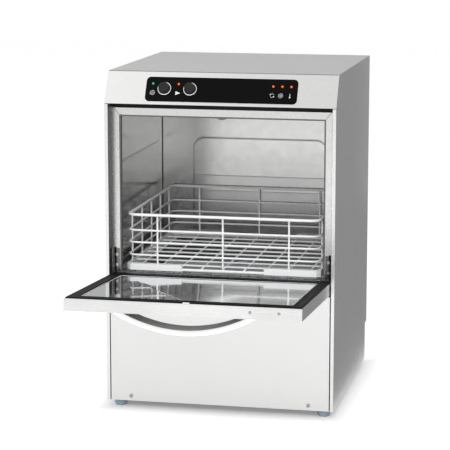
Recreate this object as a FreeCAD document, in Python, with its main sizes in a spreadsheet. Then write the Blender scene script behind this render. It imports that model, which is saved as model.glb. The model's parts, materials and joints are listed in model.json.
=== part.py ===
"""Under-counter glass washer with a drop-down door, built as separate pieces.

X runs to the machine's right, Y to its back and Z up, in millimetres.
While a piece is drawn, Y = 0 is the cabinet's front plane and Z = 0 the floor.
Each finished piece is then set back or forward so that the origin lies on the
floor under the middle of the machine's outline, open door included.
The door and all that it carries are drawn shut, about the hinge line, and turned open.
"""
import FreeCAD, Part
import Sketcher
import math
import os

doc = FreeCAD.newDocument("GlassWasher")
sheet = doc.addObject("Spreadsheet::Sheet", "Sizes")
pieces = []
counts = {"row": 0, "item": 0}


# ---------------------------------------------------------------- sizes
class Size:
    """A size known both as a number and as a formula of the sheet's cells."""

    def __init__(self, value, formula):
        self.value = float(value)
        self.formula = formula

    def __add__(self, other):
        other = lift(other)
        return Size(self.value + other.value, "(%s + %s)" % (self.formula, other.formula))

    def __sub__(self, other):
        other = lift(other)
        return Size(self.value - other.value, "(%s - %s)" % (self.formula, other.formula))

    def __mul__(self, other):
        other = lift(other)
        return Size(self.value * other.value, "(%s * %s)" % (self.formula, other.formula))

    def __truediv__(self, other):
        other = lift(other)
        return Size(self.value / other.value, "(%s / %s)" % (self.formula, other.formula))

    def __neg__(self):
        return Size(-self.value, "(0 - %s)" % self.formula)

    __radd__ = __add__
    __rmul__ = __mul__

    def __rsub__(self, other):
        return lift(other) - self


def lift(number):
    """Any number as a Size."""
    return number if isinstance(number, Size) else Size(number, "(%.6f)" % number)


def size(name, value):
    """One driving dimension, in a cell of its own."""
    counts["row"] += 1
    row = counts["row"]
    sheet.set("A%d" % row, name)
    sheet.set("B%d" % row, str(value))
    sheet.setAlias("B%d" % row, name)
    return Size(value, "Sizes.%s" % name)


def sine(angle):
    return Size(math.sin(math.radians(angle.value)), "sin(%s)" % angle.formula)


def cosine(angle):
    return Size(math.cos(math.radians(angle.value)), "cos(%s)" % angle.formula)


def root(number):
    return Size(math.sqrt(number.value), "sqrt(%s)" % number.formula)


def slope_angle(across, up):
    """Angle from the vertical of a slope that goes back by across over a rise of up."""
    return Size(math.degrees(math.atan2(across.value, up.value)),
                "(atan(%s / %s) / 1 deg)" % (across.formula, up.formula))


# Cabinet
cab_wide = size("cab_wide", 470)
cab_deep = size("cab_deep", 484)
cab_tall = size("cab_tall", 676)
foot_tall = size("foot_tall", 15)
skin = size("skin", 1.2)
seat_gap = size("seat_gap", 0.3)
run_gap = size("run_gap", 0.05)
flange_wide = size("flange_wide", 7)
niche_deep = size("niche_deep", 26)
niche_gap = size("niche_gap", 2)
rear_step_deep = size("rear_step_deep", 22)
rear_step_tall = size("rear_step_tall", 80)
lip_tall = size("lip_tall", 12)
lower_panel_tall = size("lower_panel_tall", 236)
panel_screw_x = size("panel_screw_x", 184)
panel_screw_up = size("panel_screw_up", 11)
screw_head = size("screw_head", 4)
screw_shank = size("screw_shank", 2)

# Sloping control fascia
fascia_tall = size("fascia_tall", 64)
fascia_back = size("fascia_back", 36)
strip_wide = size("strip_wide", 308)
strip_tall = size("strip_tall", 53)
strip_low = size("strip_low", 8)
strip_shift = size("strip_shift", 1.5)
strip_thick = size("strip_thick", 0.8)
strip_corner = size("strip_corner", 9)
button_up = size("button_up", 35)
power_x = size("power_x", -114)
start_x = size("start_x", -61.5)
bezel_r = size("bezel_r", 14)
sleeve_in = size("sleeve_in", 2.2)
bezel_proud = size("bezel_proud", 3)
cap_r = size("cap_r", 10.8)
cap_proud = size("cap_proud", 8.5)
cap_travel = size("cap_travel", 3)
lamp_r = size("lamp_r", 2.2)
lamp_up = size("lamp_up", 46)
lamp_power_x = size("lamp_power_x", -138.5)
lamp_start_x = size("lamp_start_x", -86)
lamp_right_x = size("lamp_right_x", 106)
lamp_pitch = size("lamp_pitch", 18.2)
board_thick = size("board_thick", 1.6)
board_depth = size("board_depth", 26)

# Front frame and wash chamber
opening_half = size("opening_half", 211)
opening_top = size("opening_top", 588)
band_tall = size("band_tall", 16)
sill_top = size("sill_top", 267)
sill_lip = size("sill_lip", 3.5)
tank_front = size("tank_front", 46)
chamber_half = size("chamber_half", 222)
chamber_back_y = size("chamber_back_y", 435)
chamber_top = size("chamber_top", 603)
tank_top = size("tank_top", 263.5)
tank_floor = size("tank_floor", 188)
sump_r = size("sump_r", 50)
sump_x = size("sump_x", -100)
sump_y = size("sump_y", 140)
sump_floor = size("sump_floor", 152)
rail_top = size("rail_top", 268)
rail_wide = size("rail_wide", 34)
rib_up = size("rib_up", 485)

# Door, hinge and bow handle
hinge_back = size("hinge_back", 20.6)
hinge_up = size("hinge_up", 259.4)
door_reach = size("door_reach", 349.6)
door_tail = size("door_tail", 21.4)
door_thick = size("door_thick", 23.4)
heel_gap = size("heel_gap", 0.6)
open_angle = size("open_angle", 86.4)
gasket_wide = size("gasket_wide", 20)
gasket_edge = size("gasket_edge", 2)
gasket_tip = size("gasket_tip", 6)
gasket_foot = size("gasket_foot", 7)
knuckle_proud = size("knuckle_proud", 5)
knuckle_half = size("knuckle_half", 5)
pin_r = size("pin_r", 4)
pin_bite = size("pin_bite", 18)
bow_half = size("bow_half", 143.5)
bow_sag = size("bow_sag", 41.5)
bow_thick = size("bow_thick", 11.5)
bow_wide = size("bow_wide", 27)
bow_edge = size("bow_edge", 18)
housing_low = size("housing_low", 236)
housing_tall = size("housing_tall", 78)
bracket_wide = size("bracket_wide", 12)
bracket_low = size("bracket_low", 266)
bracket_tall = size("bracket_tall", 48)

# Basket
basket_half = size("basket_half", 201)
basket_deep = size("basket_deep", 396)
basket_front = size("basket_front", 36)
basket_tall = size("basket_tall", 117)
basket_corner = size("basket_corner", 18)
wire_r = size("wire_r", 3)
thin_wire_r = size("thin_wire_r", 2)
floor_pitch = size("floor_pitch", 44)

# Spray arms
arm_y = size("arm_y", 240)
arm_half = size("arm_half", 180)
rinse_half = size("rinse_half", 165)
arm_wide = size("arm_wide", 26)
rinse_wide = size("rinse_wide", 12)
arm_tall = size("arm_tall", 13)
rinse_tall = size("rinse_tall", 8)
hub_r = size("hub_r", 20)
spindle_r = size("spindle_r", 8)
neck_r = size("neck_r", 6)
lower_arm_up = size("lower_arm_up", 226)
upper_arm_down = size("upper_arm_down", 12)
nozzle_r = size("nozzle_r", 2.4)
nozzle_pitch = size("nozzle_pitch", 34)

# Pump, boiler and the other works under the tank
pump_y = size("pump_y", 300)
pump_up = size("pump_up", 76)
volute_r = size("volute_r", 46)
volute_long = size("volute_long", 40)
motor_r = size("motor_r", 42)
motor_long = size("motor_long", 104)
impeller_r = size("impeller_r", 34)
shaft_r = size("shaft_r", 5)
pipe_r = size("pipe_r", 15)
pipe_wall = size("pipe_wall", 2.5)
pipe_bend = size("pipe_bend", 19.5)
hose_bend = size("hose_bend", 13)
element_bend = size("element_bend", 7)
boiler_r = size("boiler_r", 46)
boiler_long = size("boiler_long", 190)
boiler_x = size("boiler_x", 170)
element_r = size("element_r", 4)
inlet_r = size("inlet_r", 13.2)
inlet_long = size("inlet_long", 16)
drain_r = size("drain_r", 11)
drain_long = size("drain_long", 19)
gland_r = size("gland_r", 5)

# Feet
foot_x = size("foot_x", 212)
foot_front_y = size("foot_front_y", 26)
foot_rear_y = size("foot_rear_y", 430)
foot_r = size("foot_r", 14)
stem_r = size("stem_r", 4)
stem_long = size("stem_long", 34)
doc.recompute()

half = cab_wide / 2
base = foot_tall
top = foot_tall + cab_tall
inner_half = half - skin
niche_half = half - flange_wide
shoulder = base + cab_tall - fascia_tall
rear = cab_deep
step_y = cab_deep - rear_step_deep
step_z = base + rear_step_tall
lean = slope_angle(fascia_back, fascia_tall)
slope_long = root(fascia_back * fascia_back + fascia_tall * fascia_tall)
hinge_z = base + hinge_up
front_reach = door_reach * sine(open_angle) + hinge_back * cosine(open_angle) - hinge_back
origin_y = (cab_deep - front_reach) / 2
door_half = niche_half - niche_gap
inner_face = door_thick - hinge_back


# ---------------------------------------------------------------- shapes
def new_name(word):
    counts["item"] += 1
    return "%s%d" % (word, counts["item"])


def add(kind, word):
    return doc.addObject(kind, new_name(word))


def bind(item, prop, value):
    item.setExpression(prop, lift(value).formula)


def place(item, x, y, z):
    for letter, value in zip("xyz", (x, y, z)):
        bind(item, "Placement.Base." + letter, value)


def block(x, y, z):
    """A box between the two ends given for each axis."""
    item = add("Part::Box", "Block")
    for prop, ends in zip(("Length", "Width", "Height"), (x, y, z)):
        bind(item, prop, ends[1] - lift(ends[0]))
    place(item, x[0], y[0], z[0])
    return item


TURNS = {"x": FreeCAD.Rotation(FreeCAD.Vector(0, 1, 0), 90),
         "y": FreeCAD.Rotation(FreeCAD.Vector(1, 0, 0), -90),
         "z": FreeCAD.Rotation()}


def rod(along, first, second, radius, ends):
    """A cylinder along an axis; first and second are its other two coordinates."""
    item = add("Part::Cylinder", "Rod")
    bind(item, "Radius", radius)
    bind(item, "Height", ends[1] - lift(ends[0]))
    item.Placement = FreeCAD.Placement(FreeCAD.Vector(), TURNS[along])
    where = {"x": (ends[0], first, second), "y": (first, ends[0], second),
             "z": (first, second, ends[0])}[along]
    place(item, *where)
    return item


def fuse(*items):
    item = add("Part::MultiFuse", "Join")
    item.Shapes = list(items)
    item.Refine = True
    return item


def cut(body, *tools):
    item = add("Part::Cut", "Cut")
    item.Base = body
    item.Tool = tools[0] if len(tools) == 1 else group(*tools)
    item.Refine = True
    return item


def common(first, second):
    item = add("Part::MultiCommon", "Common")
    item.Shapes = [first, second]
    return item


def group(*items):
    item = add("Part::Compound", "Group")
    item.Links = list(items)
    return item


def tube(along, first, second, radius, wall, ends):
    return cut(rod(along, first, second, radius, ends),
               rod(along, first, second, radius - wall, ends))


def closed_sketch(body, plane, points, offset):
    """A polygon on one of the body's own planes, each corner bound to the sheet."""
    drawing = body.newObject("Sketcher::SketchObject", new_name("Outline"))
    role = next(item for item in body.Origin.OriginFeatures if item.Role == plane)
    drawing.AttachmentSupport = (role, "")
    drawing.MapMode = "FlatFace"
    bind(drawing, "AttachmentOffset.Base.z", offset)
    corners = [(lift(a), lift(b)) for a, b in points]
    spots = [FreeCAD.Vector(a.value, b.value, 0) for a, b in corners]
    total = len(spots)
    for index in range(total):
        drawing.addGeometry(Part.LineSegment(spots[index], spots[(index + 1) % total]), False)
    for index in range(total):
        drawing.addConstraint(Sketcher.Constraint("Coincident", index, 2, (index + 1) % total, 1))
    for index, (a, b) in enumerate(corners):
        for kind, value in (("DistanceX", a), ("DistanceY", b)):
            number = drawing.addConstraint(
                Sketcher.Constraint(kind, -1, 1, index, 1, value.value))
            drawing.setExpression("Constraints[%d]" % number, value.formula)
    return drawing


def profile(points, x):
    """A side-view outline of (y, z) corners, padded from x[0] to x[1]."""
    body = add("PartDesign::Body", "Body")
    drawing = closed_sketch(body, "YZ_Plane", points, x[0])
    pad = body.newObject("PartDesign::Pad", new_name("Pad"))
    pad.Profile = drawing
    bind(pad, "Length", x[1] - lift(x[0]))
    return body


def plan(points, z):
    """A top-view outline of (x, y) corners, padded from z[0] to z[1]."""
    body = add("PartDesign::Body", "Body")
    drawing = closed_sketch(body, "XY_Plane", points, z[0])
    pad = body.newObject("PartDesign::Pad", new_name("Pad"))
    pad.Profile = drawing
    bind(pad, "Length", z[1] - lift(z[0]))
    return body


def turned(points, x, y):
    """A piece turned on a lathe: (radius, height) corners, about a vertical line at x, y."""
    body = add("PartDesign::Body", "Body")
    drawing = closed_sketch(body, "XZ_Plane", points, 0)
    spin = body.newObject("PartDesign::Revolution", new_name("Turning"))
    spin.Profile = drawing
    spin.ReferenceAxis = (drawing, ["V_Axis"])
    spin.Angle = 360
    place(body, x, y, 0)
    return body


def finish(name, item):
    """Name a piece and set the machine's origin under it."""
    whole = group(item)
    whole.Label = name
    bind(whole, "Placement.Base.y", -origin_y)
    pieces.append(whole)


def finish_door(name, item):
    """Name a piece of the door, drawn shut about the hinge line, and turn it open."""
    whole = group(item)
    whole.Label = name
    whole.Placement.Rotation = FreeCAD.Rotation(FreeCAD.Vector(1, 0, 0), open_angle.value)
    bind(whole, "Placement.Rotation.Angle", open_angle)
    place(whole, 0, hinge_back - origin_y, hinge_z)
    pieces.append(whole)


def finish_fascia(name, item):
    """Name a piece drawn flat on the fascia: X across, Y up the slope, Z out of it."""
    whole = group(item)
    whole.Label = name
    tilt = 90 - lean
    whole.Placement.Rotation = FreeCAD.Rotation(FreeCAD.Vector(1, 0, 0), tilt.value)
    bind(whole, "Placement.Rotation.Angle", tilt)
    place(whole, 0, -origin_y, shoulder)
    pieces.append(whole)


def side(sign, near, far):
    """The same stretch of X on the right (1) or, mirrored, on the left (-1)."""
    return (lift(near), lift(far)) if sign > 0 else (-lift(far), -lift(near))


def both_sides(near, far, y, z):
    return [block(side(sign, near, far), y, z) for sign in (-1, 1)]


def pipe_run(points, radius, bend):
    """Straight runs along the axes, joined by quarter bends of one radius."""
    points = [[lift(value) for value in point] for point in points]
    headings = []
    for start, end in zip(points, points[1:]):
        steps = [b.value - a.value for a, b in zip(start, end)]
        along = max(range(3), key=lambda k: abs(steps[k]))
        headings.append((along, 1 if steps[along] > 0 else -1))
    parts = []
    for number, (along, sign) in enumerate(headings):
        start = points[number][along] + (sign * bend if number else 0)
        end = points[number + 1][along] - (sign * bend if number + 1 < len(headings) else 0)
        others = [points[number][k] for k in range(3) if k != along]
        parts.append(rod("xyz"[along], others[0], others[1], radius,
                         (start, end) if sign > 0 else (end, start)))
    for corner, (along, sign), (after, turn) in zip(points[1:], headings, headings[1:]):
        parts.append(quarter_bend(corner, along, sign, after, turn, radius, bend))
    return parts


def quarter_bend(corner, along, sign, after, turn, radius, bend):
    """The bend from the axis along to the axis after, at a corner of a run."""
    axes = [FreeCAD.Vector(*[1 if k == n else 0 for k in range(3)]) for n in range(3)]
    incoming, outgoing = axes[along] * sign, axes[after] * turn
    item = add("Part::Torus", "Bend")
    bind(item, "Radius1", bend)
    bind(item, "Radius2", radius)
    item.Angle3 = 90
    item.Placement.Rotation = FreeCAD.Rotation(-outgoing, incoming, incoming.cross(outgoing), "XYZ")
    centre = list(corner)
    centre[along] = centre[along] - sign * bend
    centre[after] = centre[after] + turn * bend
    place(item, *centre)
    return item


def pipe(*runs):
    """A hollow pipe along one or more runs."""
    outer = [item for run in runs for item in pipe_run(run, pipe_r, pipe_bend)]
    inner = [item for run in runs for item in pipe_run(run, pipe_r - pipe_wall, pipe_bend)]
    return cut(fuse(*outer), fuse(*inner))


# ---------------------------------------------------------------- cabinet
def side_panel(sign):
    edge = 2
    outline = [(0, base), (0, shoulder), (edge, shoulder), (fascia_back + edge, top - skin),
               (rear, top - skin), (rear, step_z), (step_y, step_z), (step_y, base)]
    wall = profile(outline, side(sign, inner_half, half))
    flange = block(side(sign, niche_half, inner_half), (0, skin), (base, shoulder))
    niche = block(side(sign, niche_half, niche_half + skin), (skin, niche_deep),
                  (base + lip_tall + skin, shoulder))
    window = block(side(sign, niche_half, niche_half + skin), (4, niche_deep - 1),
                   (base + housing_low, base + housing_low + housing_tall))
    back_flange = block(side(sign, inner_half - lip_tall, inner_half),
                        (rear - 2 * skin - seat_gap, rear - skin - seat_gap), (step_z + 20, top - 20))
    return fuse(wall, flange, cut(niche, window), back_flange)


finish("side_panel_left", side_panel(-1))
finish("side_panel_right", side_panel(1))

cover = block((-half, half), (fascia_back + 0.6, rear), (top - skin, top))
cover_lip_y = (fascia_back + 34, rear - 30)
cover_lips = both_sides(inner_half - seat_gap - skin, inner_half - seat_gap, cover_lip_y,
                        (top - skin - lip_tall, top - skin))
finish("top_cover", fuse(cover, *cover_lips))

back_outline = [(rear - skin, top - skin), (rear - skin, step_z + skin), (step_y - skin, step_z + skin),
                (step_y - skin, base + skin), (step_y, base + skin), (step_y, step_z),
                (rear, step_z), (rear, top - skin)]
back_sheet = profile(back_outline, (seat_gap - inner_half, inner_half - seat_gap))
louvre_wide, louvre_tall, louvre_pitch, louvre_up = 60, 4, 14, 520
louvres = [block((x, x + louvre_wide), (rear - 5, rear + 5), (z, z + louvre_tall))
           for x in (-150, -30, 90)
           for z in (base + louvre_up + louvre_pitch * n for n in range(5))]
collar_wide = 3
inlet_x, inlet_up = 120, 52
drain_x, drain_up = -40, 40
gland_x, gland_up = 180, 50
rear_holes = [rod("y", x, base + up, radius, (step_y - 5, step_y + 5)) for x, up, radius in
              ((inlet_x, inlet_up, inlet_r + collar_wide), (drain_x, drain_up, drain_r + collar_wide),
               (gland_x, gland_up, gland_r + collar_wide))]
finish("back_panel", cut(back_sheet, *louvres, *rear_holes))

tray = block((seat_gap - inner_half, inner_half - seat_gap), (2 * skin, step_y - skin), (base, base + skin))
tray_lips = both_sides(inner_half - seat_gap - skin, inner_half - seat_gap, (40, step_y - 20),
                       (base + skin, base + lip_tall))
feet = [(name, sign * foot_x, y) for name, sign, y in
        (("front_left", -1, foot_front_y), ("front_right", 1, foot_front_y),
         ("rear_left", -1, foot_rear_y), ("rear_right", 1, foot_rear_y))]
nuts = [rod("z", x, y, stem_r + 3, (base + skin, base + skin + 8)) for _, x, y in feet]
stem_holes = [rod("z", x, y, stem_r + run_gap, (base - 1, base + skin + 9)) for _, x, y in feet]
tab_half = 10
panel_tabs = [block((sign * panel_screw_x - tab_half, sign * panel_screw_x + tab_half),
                    (2 * skin, 3 * skin), (base + skin, base + panel_screw_up + tab_half + 1))
              for sign in (-1, 1)]
tab_holes = [rod("y", sign * panel_screw_x, base + panel_screw_up, screw_shank, (0, 10))
             for sign in (-1, 1)]
finish("base_tray", cut(fuse(tray, *tray_lips, *nuts, *panel_tabs), *stem_holes, *tab_holes))

panel_half = niche_half - niche_gap
lower_front = block((-panel_half, panel_half), (0, skin), (base + skin, base + lower_panel_tall))
lower_lip_deep = 14
lower_lip = block((-panel_half, panel_half), (skin, lower_lip_deep),
                  (base + lower_panel_tall - skin, base + lower_panel_tall))
lower_ends = both_sides(panel_half - skin, panel_half, (skin, lower_lip_deep),
                        (base + 20, base + lower_panel_tall - skin))
lower_holes = [rod("y", sign * panel_screw_x, base + panel_screw_up, screw_shank, (-1, 3))
               for sign in (-1, 1)]
finish("lower_front_panel", cut(fuse(lower_front, lower_lip, *lower_ends), *lower_holes))


screw_head_tall = 2


def screw_y(x, z, face, length):
    """A pan-head screw driven towards +Y from the face that its head stands on."""
    return fuse(rod("y", x, z, screw_head, (face - screw_head_tall, face)),
                rod("y", x, z, screw_shank, (face, face + length)))


bracket_screw_z = [base + bracket_low + bracket_tall * share for share in (0.28, 0.72)]
bracket_mid = opening_half + 1 + bracket_wide / 2

# ---------------------------------------------------------------- front frame
frame_y = (niche_deep, niche_deep + skin)
sill_low = base + sill_top - sill_lip
frame = block((seat_gap - inner_half, inner_half - seat_gap), frame_y,
              (sill_low, base + opening_top + band_tall))
opening = block((-opening_half, opening_half), (niche_deep - 1, niche_deep + 2),
                (base + sill_top, base + opening_top))
bracket_x = (opening_half + 1, opening_half + 1 + bracket_wide)
bracket_z = (base + bracket_low, base + bracket_low + bracket_tall)
bracket_gaps = both_sides(*bracket_x, (niche_deep - 1, niche_deep + 2), bracket_z)
ledge = block((-opening_half - skin, opening_half + skin), (niche_deep + skin, tank_front + 4),
              (sill_low, sill_low + skin))
rim_y = (niche_deep + skin, niche_deep + 8)
rim = cut(block((-opening_half - skin, opening_half + skin), rim_y,
                (sill_low + skin, base + opening_top + skin)),
          block((-opening_half, opening_half), rim_y, (sill_low + skin, base + opening_top)))
finish("front_frame", fuse(cut(frame, opening, *bracket_gaps), ledge, rim))

seal = 3
catch_half = 9.5
seal_y = (niche_deep, niche_deep + 8)
seal_sides = both_sides(opening_half - seal, opening_half, seal_y, (base + sill_top, base + opening_top))
seal_tops = both_sides(catch_half, opening_half - seal, seal_y,
                       (base + opening_top - seal, base + opening_top))
finish("opening_seal", group(*seal_sides, *seal_tops))
catch_low = base + opening_top - seal - 1
roller_r, roller_half = 2, 6
catch_body = block((-catch_half, catch_half), (niche_deep + seat_gap, niche_deep + 8),
                   (catch_low, base + opening_top))
catch_roller = rod("x", niche_deep + 4, catch_low, roller_r, (-roller_half, roller_half))
finish("door_catch", fuse(catch_body, catch_roller))

brackets = [cut(block(side(sign, *bracket_x), frame_y, bracket_z),
                *[rod("y", sign * bracket_mid, z, screw_shank, (niche_deep - 1, niche_deep + 4))
                  for z in bracket_screw_z]) for sign in (-1, 1)]
finish("hinge_brackets", group(*brackets))
panel_screws = [screw_y(sign * panel_screw_x, base + panel_screw_up, 0, 6) for sign in (-1, 1)]
bracket_screws = [rod("y", sign * bracket_mid, z, screw_shank, (niche_deep + 0.2, niche_deep + 9))
                  for sign in (-1, 1) for z in bracket_screw_z]
finish("front_screws", group(*panel_screws, *bracket_screws))


def hinge_housing(sign):
    """Black block in the niche wall; its window shows between the door and the cabinet."""
    low, high = base + housing_low, base + housing_low + housing_tall
    insert = block(side(sign, niche_half, niche_half + skin), (4, niche_deep - 1), (low, high))
    carrier = block(side(sign, niche_half + skin, inner_half), (skin, niche_deep - seat_gap), (low, high))
    hole = rod("x", hinge_back, hinge_z, pin_r, side(sign, niche_half, niche_half + 4))
    return cut(fuse(insert, carrier), hole)


finish("hinge_housings", group(hinge_housing(-1), hinge_housing(1)))
finish("hinge_pins", group(*[rod("x", hinge_back, hinge_z, pin_r,
                                 side(sign, door_half - pin_bite, niche_half + 4))
                             for sign in (-1, 1)]))


# ---------------------------------------------------------------- sloping fascia
fascia_fold = 20


def fascia_sheet():
    """The folded sheet: the sloping face and a flange that runs level to the back."""
    low = skin
    deep = fascia_fold
    turn = skin * (1 + sine(lean)) / cosine(lean)
    points = [(low, 0),
              (low + deep * sine(lean), -deep * cosine(lean)),
              (low + deep * sine(lean) + skin * cosine(lean), skin * sine(lean) - deep * cosine(lean)),
              (low + skin * cosine(lean) + turn * sine(lean), -skin),
              (slope_long - skin, -skin),
              (slope_long - skin, 0)]
    return profile(points, (-half, half))


def through(x, up, radius):
    return rod("z", x, up, radius, (-5, 5))


lamps = [(lamp_power_x, lamp_up), (lamp_start_x, lamp_up)]
lamps += [(lamp_right_x + lamp_pitch * n, lamp_up - 1) for n in range(3)]
button_holes = [through(x, button_up, bezel_r - sleeve_in) for x in (power_x, start_x)]
lamp_holes = [through(x, up, lamp_r) for x, up in lamps]
fascia_trim = both_sides(inner_half - seat_gap, half + 1, (-20, 20), (-40, -skin))
finish_fascia("control_fascia", cut(fascia_sheet(), *fascia_trim, *button_holes, *lamp_holes))


def strip():
    x = (strip_shift - strip_wide / 2, strip_shift + strip_wide / 2)
    y = (strip_low, strip_low + strip_tall)
    corner = strip_corner
    parts = [block((x[0] + corner, x[1] - corner), y, (0, strip_thick)),
             block(x, (y[0] + corner, y[1] - corner), (0, strip_thick))]
    parts += [rod("z", cx, cy, corner, (0, strip_thick))
              for cx in (x[0] + corner, x[1] - corner) for cy in (y[0] + corner, y[1] - corner)]
    return fuse(*parts)


bezel_holes = [through(x, button_up, bezel_r - sleeve_in) for x in (power_x, start_x)]
strip_lamp_holes = [through(x, up, lamp_r) for x, up in lamps]
finish_fascia("control_strip", cut(strip(), *bezel_holes, *strip_lamp_holes))


cap_deep = 7


def bezel(x):
    """A turned ring with a sleeve that reaches down through the fascia."""
    ring = rod("z", x, button_up, bezel_r, (strip_thick, strip_thick + bezel_proud))
    sleeve = rod("z", x, button_up, bezel_r - sleeve_in, (-cap_deep - 1, strip_thick))
    hole = rod("z", x, button_up, cap_r + seat_gap, (-9, 9))
    return cut(fuse(ring, sleeve), hole)


finish_fascia("button_bezels", group(bezel(power_x), bezel(start_x)))
for name, x in (("power_button", power_x), ("start_button", start_x)):
    finish_fascia(name, rod("z", x, button_up, cap_r, (-cap_deep, strip_thick + cap_proud)))
lamp_proud = 0.8
lamp_parts = [rod("z", x, up, lamp_r, (1 - cap_deep, strip_thick + lamp_proud)) for x, up in lamps]
finish_fascia("power_lamp", lamp_parts[0])
finish_fascia("status_lamps", group(*lamp_parts[1:]))

board_half, board_up = 150, (18, 68)
switch_r, spacer_r = 9, 3
board = block((-board_half, board_half), board_up, (-board_depth - board_thick, -board_depth))
switches = [rod("z", x, button_up, switch_r, (-board_depth, -cap_deep - cap_travel - seat_gap))
            for x in (power_x, start_x)]
spacers = [rod("z", x, up, spacer_r, (-board_depth, -skin))
           for x in (5 - board_half, -20, 90) for up in (board_up[0] + 5, board_up[1] - 6)]
finish_fascia("control_board", fuse(board, *switches, *spacers))

# ---------------------------------------------------------------- wash chamber
tank_rim = base + tank_top
wrap_y = (niche_deep + skin, chamber_back_y + skin)
wrap_walls = both_sides(chamber_half, chamber_half + skin, wrap_y, (tank_rim, base + chamber_top + skin))
roof = block((-chamber_half, chamber_half), wrap_y, (base + chamber_top, base + chamber_top + skin))
rib_r, rib_y = 2.5, (tank_front + 39, chamber_back_y - 35)
ribs = [rod("y", sign * chamber_half, base + rib_up, rib_r, rib_y) for sign in (-1, 1)]
spindle_hole = rod("z", 0, arm_y, spindle_r, (base + chamber_top - 5, base + chamber_top + 5))
finish("chamber_wrap", cut(fuse(*wrap_walls, roof, *ribs), spindle_hole))

back_wall = block((-chamber_half, chamber_half), (chamber_back_y, chamber_back_y + skin),
                  (tank_rim, base + chamber_top))
boss_half, boss_proud, boss_up = 150, 1.5, (300, 491)
back_boss = block((-boss_half, boss_half), (chamber_back_y - boss_proud, chamber_back_y),
                  (base + boss_up[0], base + boss_up[1]))
finish("chamber_back", fuse(back_wall, back_boss))

floor_z = base + tank_floor
sump_z = base + sump_floor
tank_y = (tank_front, chamber_back_y)
tank_shell = fuse(block((-chamber_half - skin, chamber_half + skin), (tank_y[0] - skin, tank_y[1] + skin),
                        (floor_z - skin, tank_rim)),
                  rod("z", sump_x, sump_y, sump_r + skin, (sump_z - skin, floor_z)))
tank_space = fuse(block((-chamber_half, chamber_half), tank_y, (floor_z, tank_rim)),
                  rod("z", sump_x, sump_y, sump_r, (sump_z, floor_z)))
ledge_up, ledge_wide, ledge_thick = 14, 6, 3
tank_ledges = both_sides(chamber_half - ledge_wide, chamber_half, (tank_front + 20, chamber_back_y - 20),
                         (floor_z + ledge_up, floor_z + ledge_up + ledge_thick))
drain_port = rod("z", sump_x, sump_y, drain_r - 2, (sump_z - 5, sump_z + 5))
suction_port = rod("y", sump_x, sump_z + 18, pipe_r, (sump_y + sump_r - 20, sump_y + sump_r + 5))
feed_port = rod("z", 0, arm_y, pipe_r - pipe_wall, (floor_z - 5, floor_z + 5))
finish("tank", fuse(cut(tank_shell, tank_space, drain_port, suction_port, feed_port), *tank_ledges))

rail_y = (tank_front + 4, chamber_back_y - 3)
rail_top_z = base + rail_top
rail_thick, rail_fence, fence_tall = 2, 1.5, 14
finish("basket_rails", group(*[
    fuse(block(side(sign, chamber_half - rail_wide, chamber_half - seat_gap), rail_y,
               (rail_top_z - rail_thick, rail_top_z)),
         block(side(sign, chamber_half - seat_gap - rail_fence, chamber_half - seat_gap), rail_y,
               (rail_top_z, rail_top_z + fence_tall)))
    for sign in (-1, 1)]))

filter_z = floor_z + ledge_up + ledge_thick
filter_hole_r = sump_r - 8
filter_plate = block((seat_gap + 2 - chamber_half, chamber_half - seat_gap - 2),
                     (tank_front + 6, chamber_back_y - 6), (filter_z, filter_z + skin))
filter_cut = (filter_z - 1, filter_z + 3)
slot_long, slot_wide = 26, 5
filter_slots = [block((x, x + slot_long), (y, y + slot_wide), filter_cut)
                for x in range(-30, 190, slot_long + 14) for y in range(80, 210, slot_long)]
finish("tank_filter", cut(filter_plate, rod("z", sump_x, sump_y, filter_hole_r, filter_cut),
                          rod("z", 0, arm_y, 13, filter_cut), *filter_slots))
cup_r = filter_hole_r - 2
cup = tube("z", sump_x, sump_y, cup_r, 2, (sump_z + 40, filter_z + skin))
cup_floor = cut(rod("z", sump_x, sump_y, cup_r, (sump_z + 38, sump_z + 40)),
                rod("z", sump_x, sump_y, 15, (sump_z + 37, sump_z + 41)))
cup_flange = tube("z", sump_x, sump_y, filter_hole_r + 6, 10, (filter_z + skin, filter_z + skin + 2))
finish("sump_filter", fuse(cup, cup_floor, cup_flange))

standpipe_top = base + lower_arm_up - 6
standpipe = turned([(8, sump_z + 0.2), (12, sump_z + 0.2), (14, sump_z + 6), (14, standpipe_top - 6),
                    (16, standpipe_top), (13, standpipe_top), (11, standpipe_top - 8), (11, sump_z + 10),
                    (8, sump_z + 8)], sump_x, sump_y)
finish("overflow_standpipe", standpipe)


# ---------------------------------------------------------------- spray arms
def arm(length, width, tall, bore, up, nozzle_side):
    """A flat bar with tapered ends and a hub, with a row of jets each side of the hub."""
    tip = width / 3
    outline = [(-length, -tip), (-hub_r, -width / 2), (hub_r, -width / 2), (length, -tip),
               (length, tip), (hub_r, width / 2), (-hub_r, width / 2), (-length, tip)]
    bar = plan(outline, (up + 1, up + tall - 1))
    place(bar, 0, arm_y, 0)
    hub = rod("z", 0, arm_y, hub_r, (up, up + tall))
    face = up + tall - 1 if nozzle_side > 0 else up + 1
    ends = (face - 4, face + 2) if nozzle_side > 0 else (face - 2, face + 4)
    jets = [rod("z", sign * (hub_r + nozzle_pitch * (n + 0.6)), arm_y, nozzle_r, ends)
            for sign in (-1, 1) for n in range(4)]
    return cut(fuse(bar, hub), rod("z", 0, arm_y, bore, (up - 1, up + tall + 1)), *jets)


def stacked(levels, points):
    """Corners of a turned spindle, with each height taken from a list of levels."""
    return [(radius, levels[number]) for radius, number in points]


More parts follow.
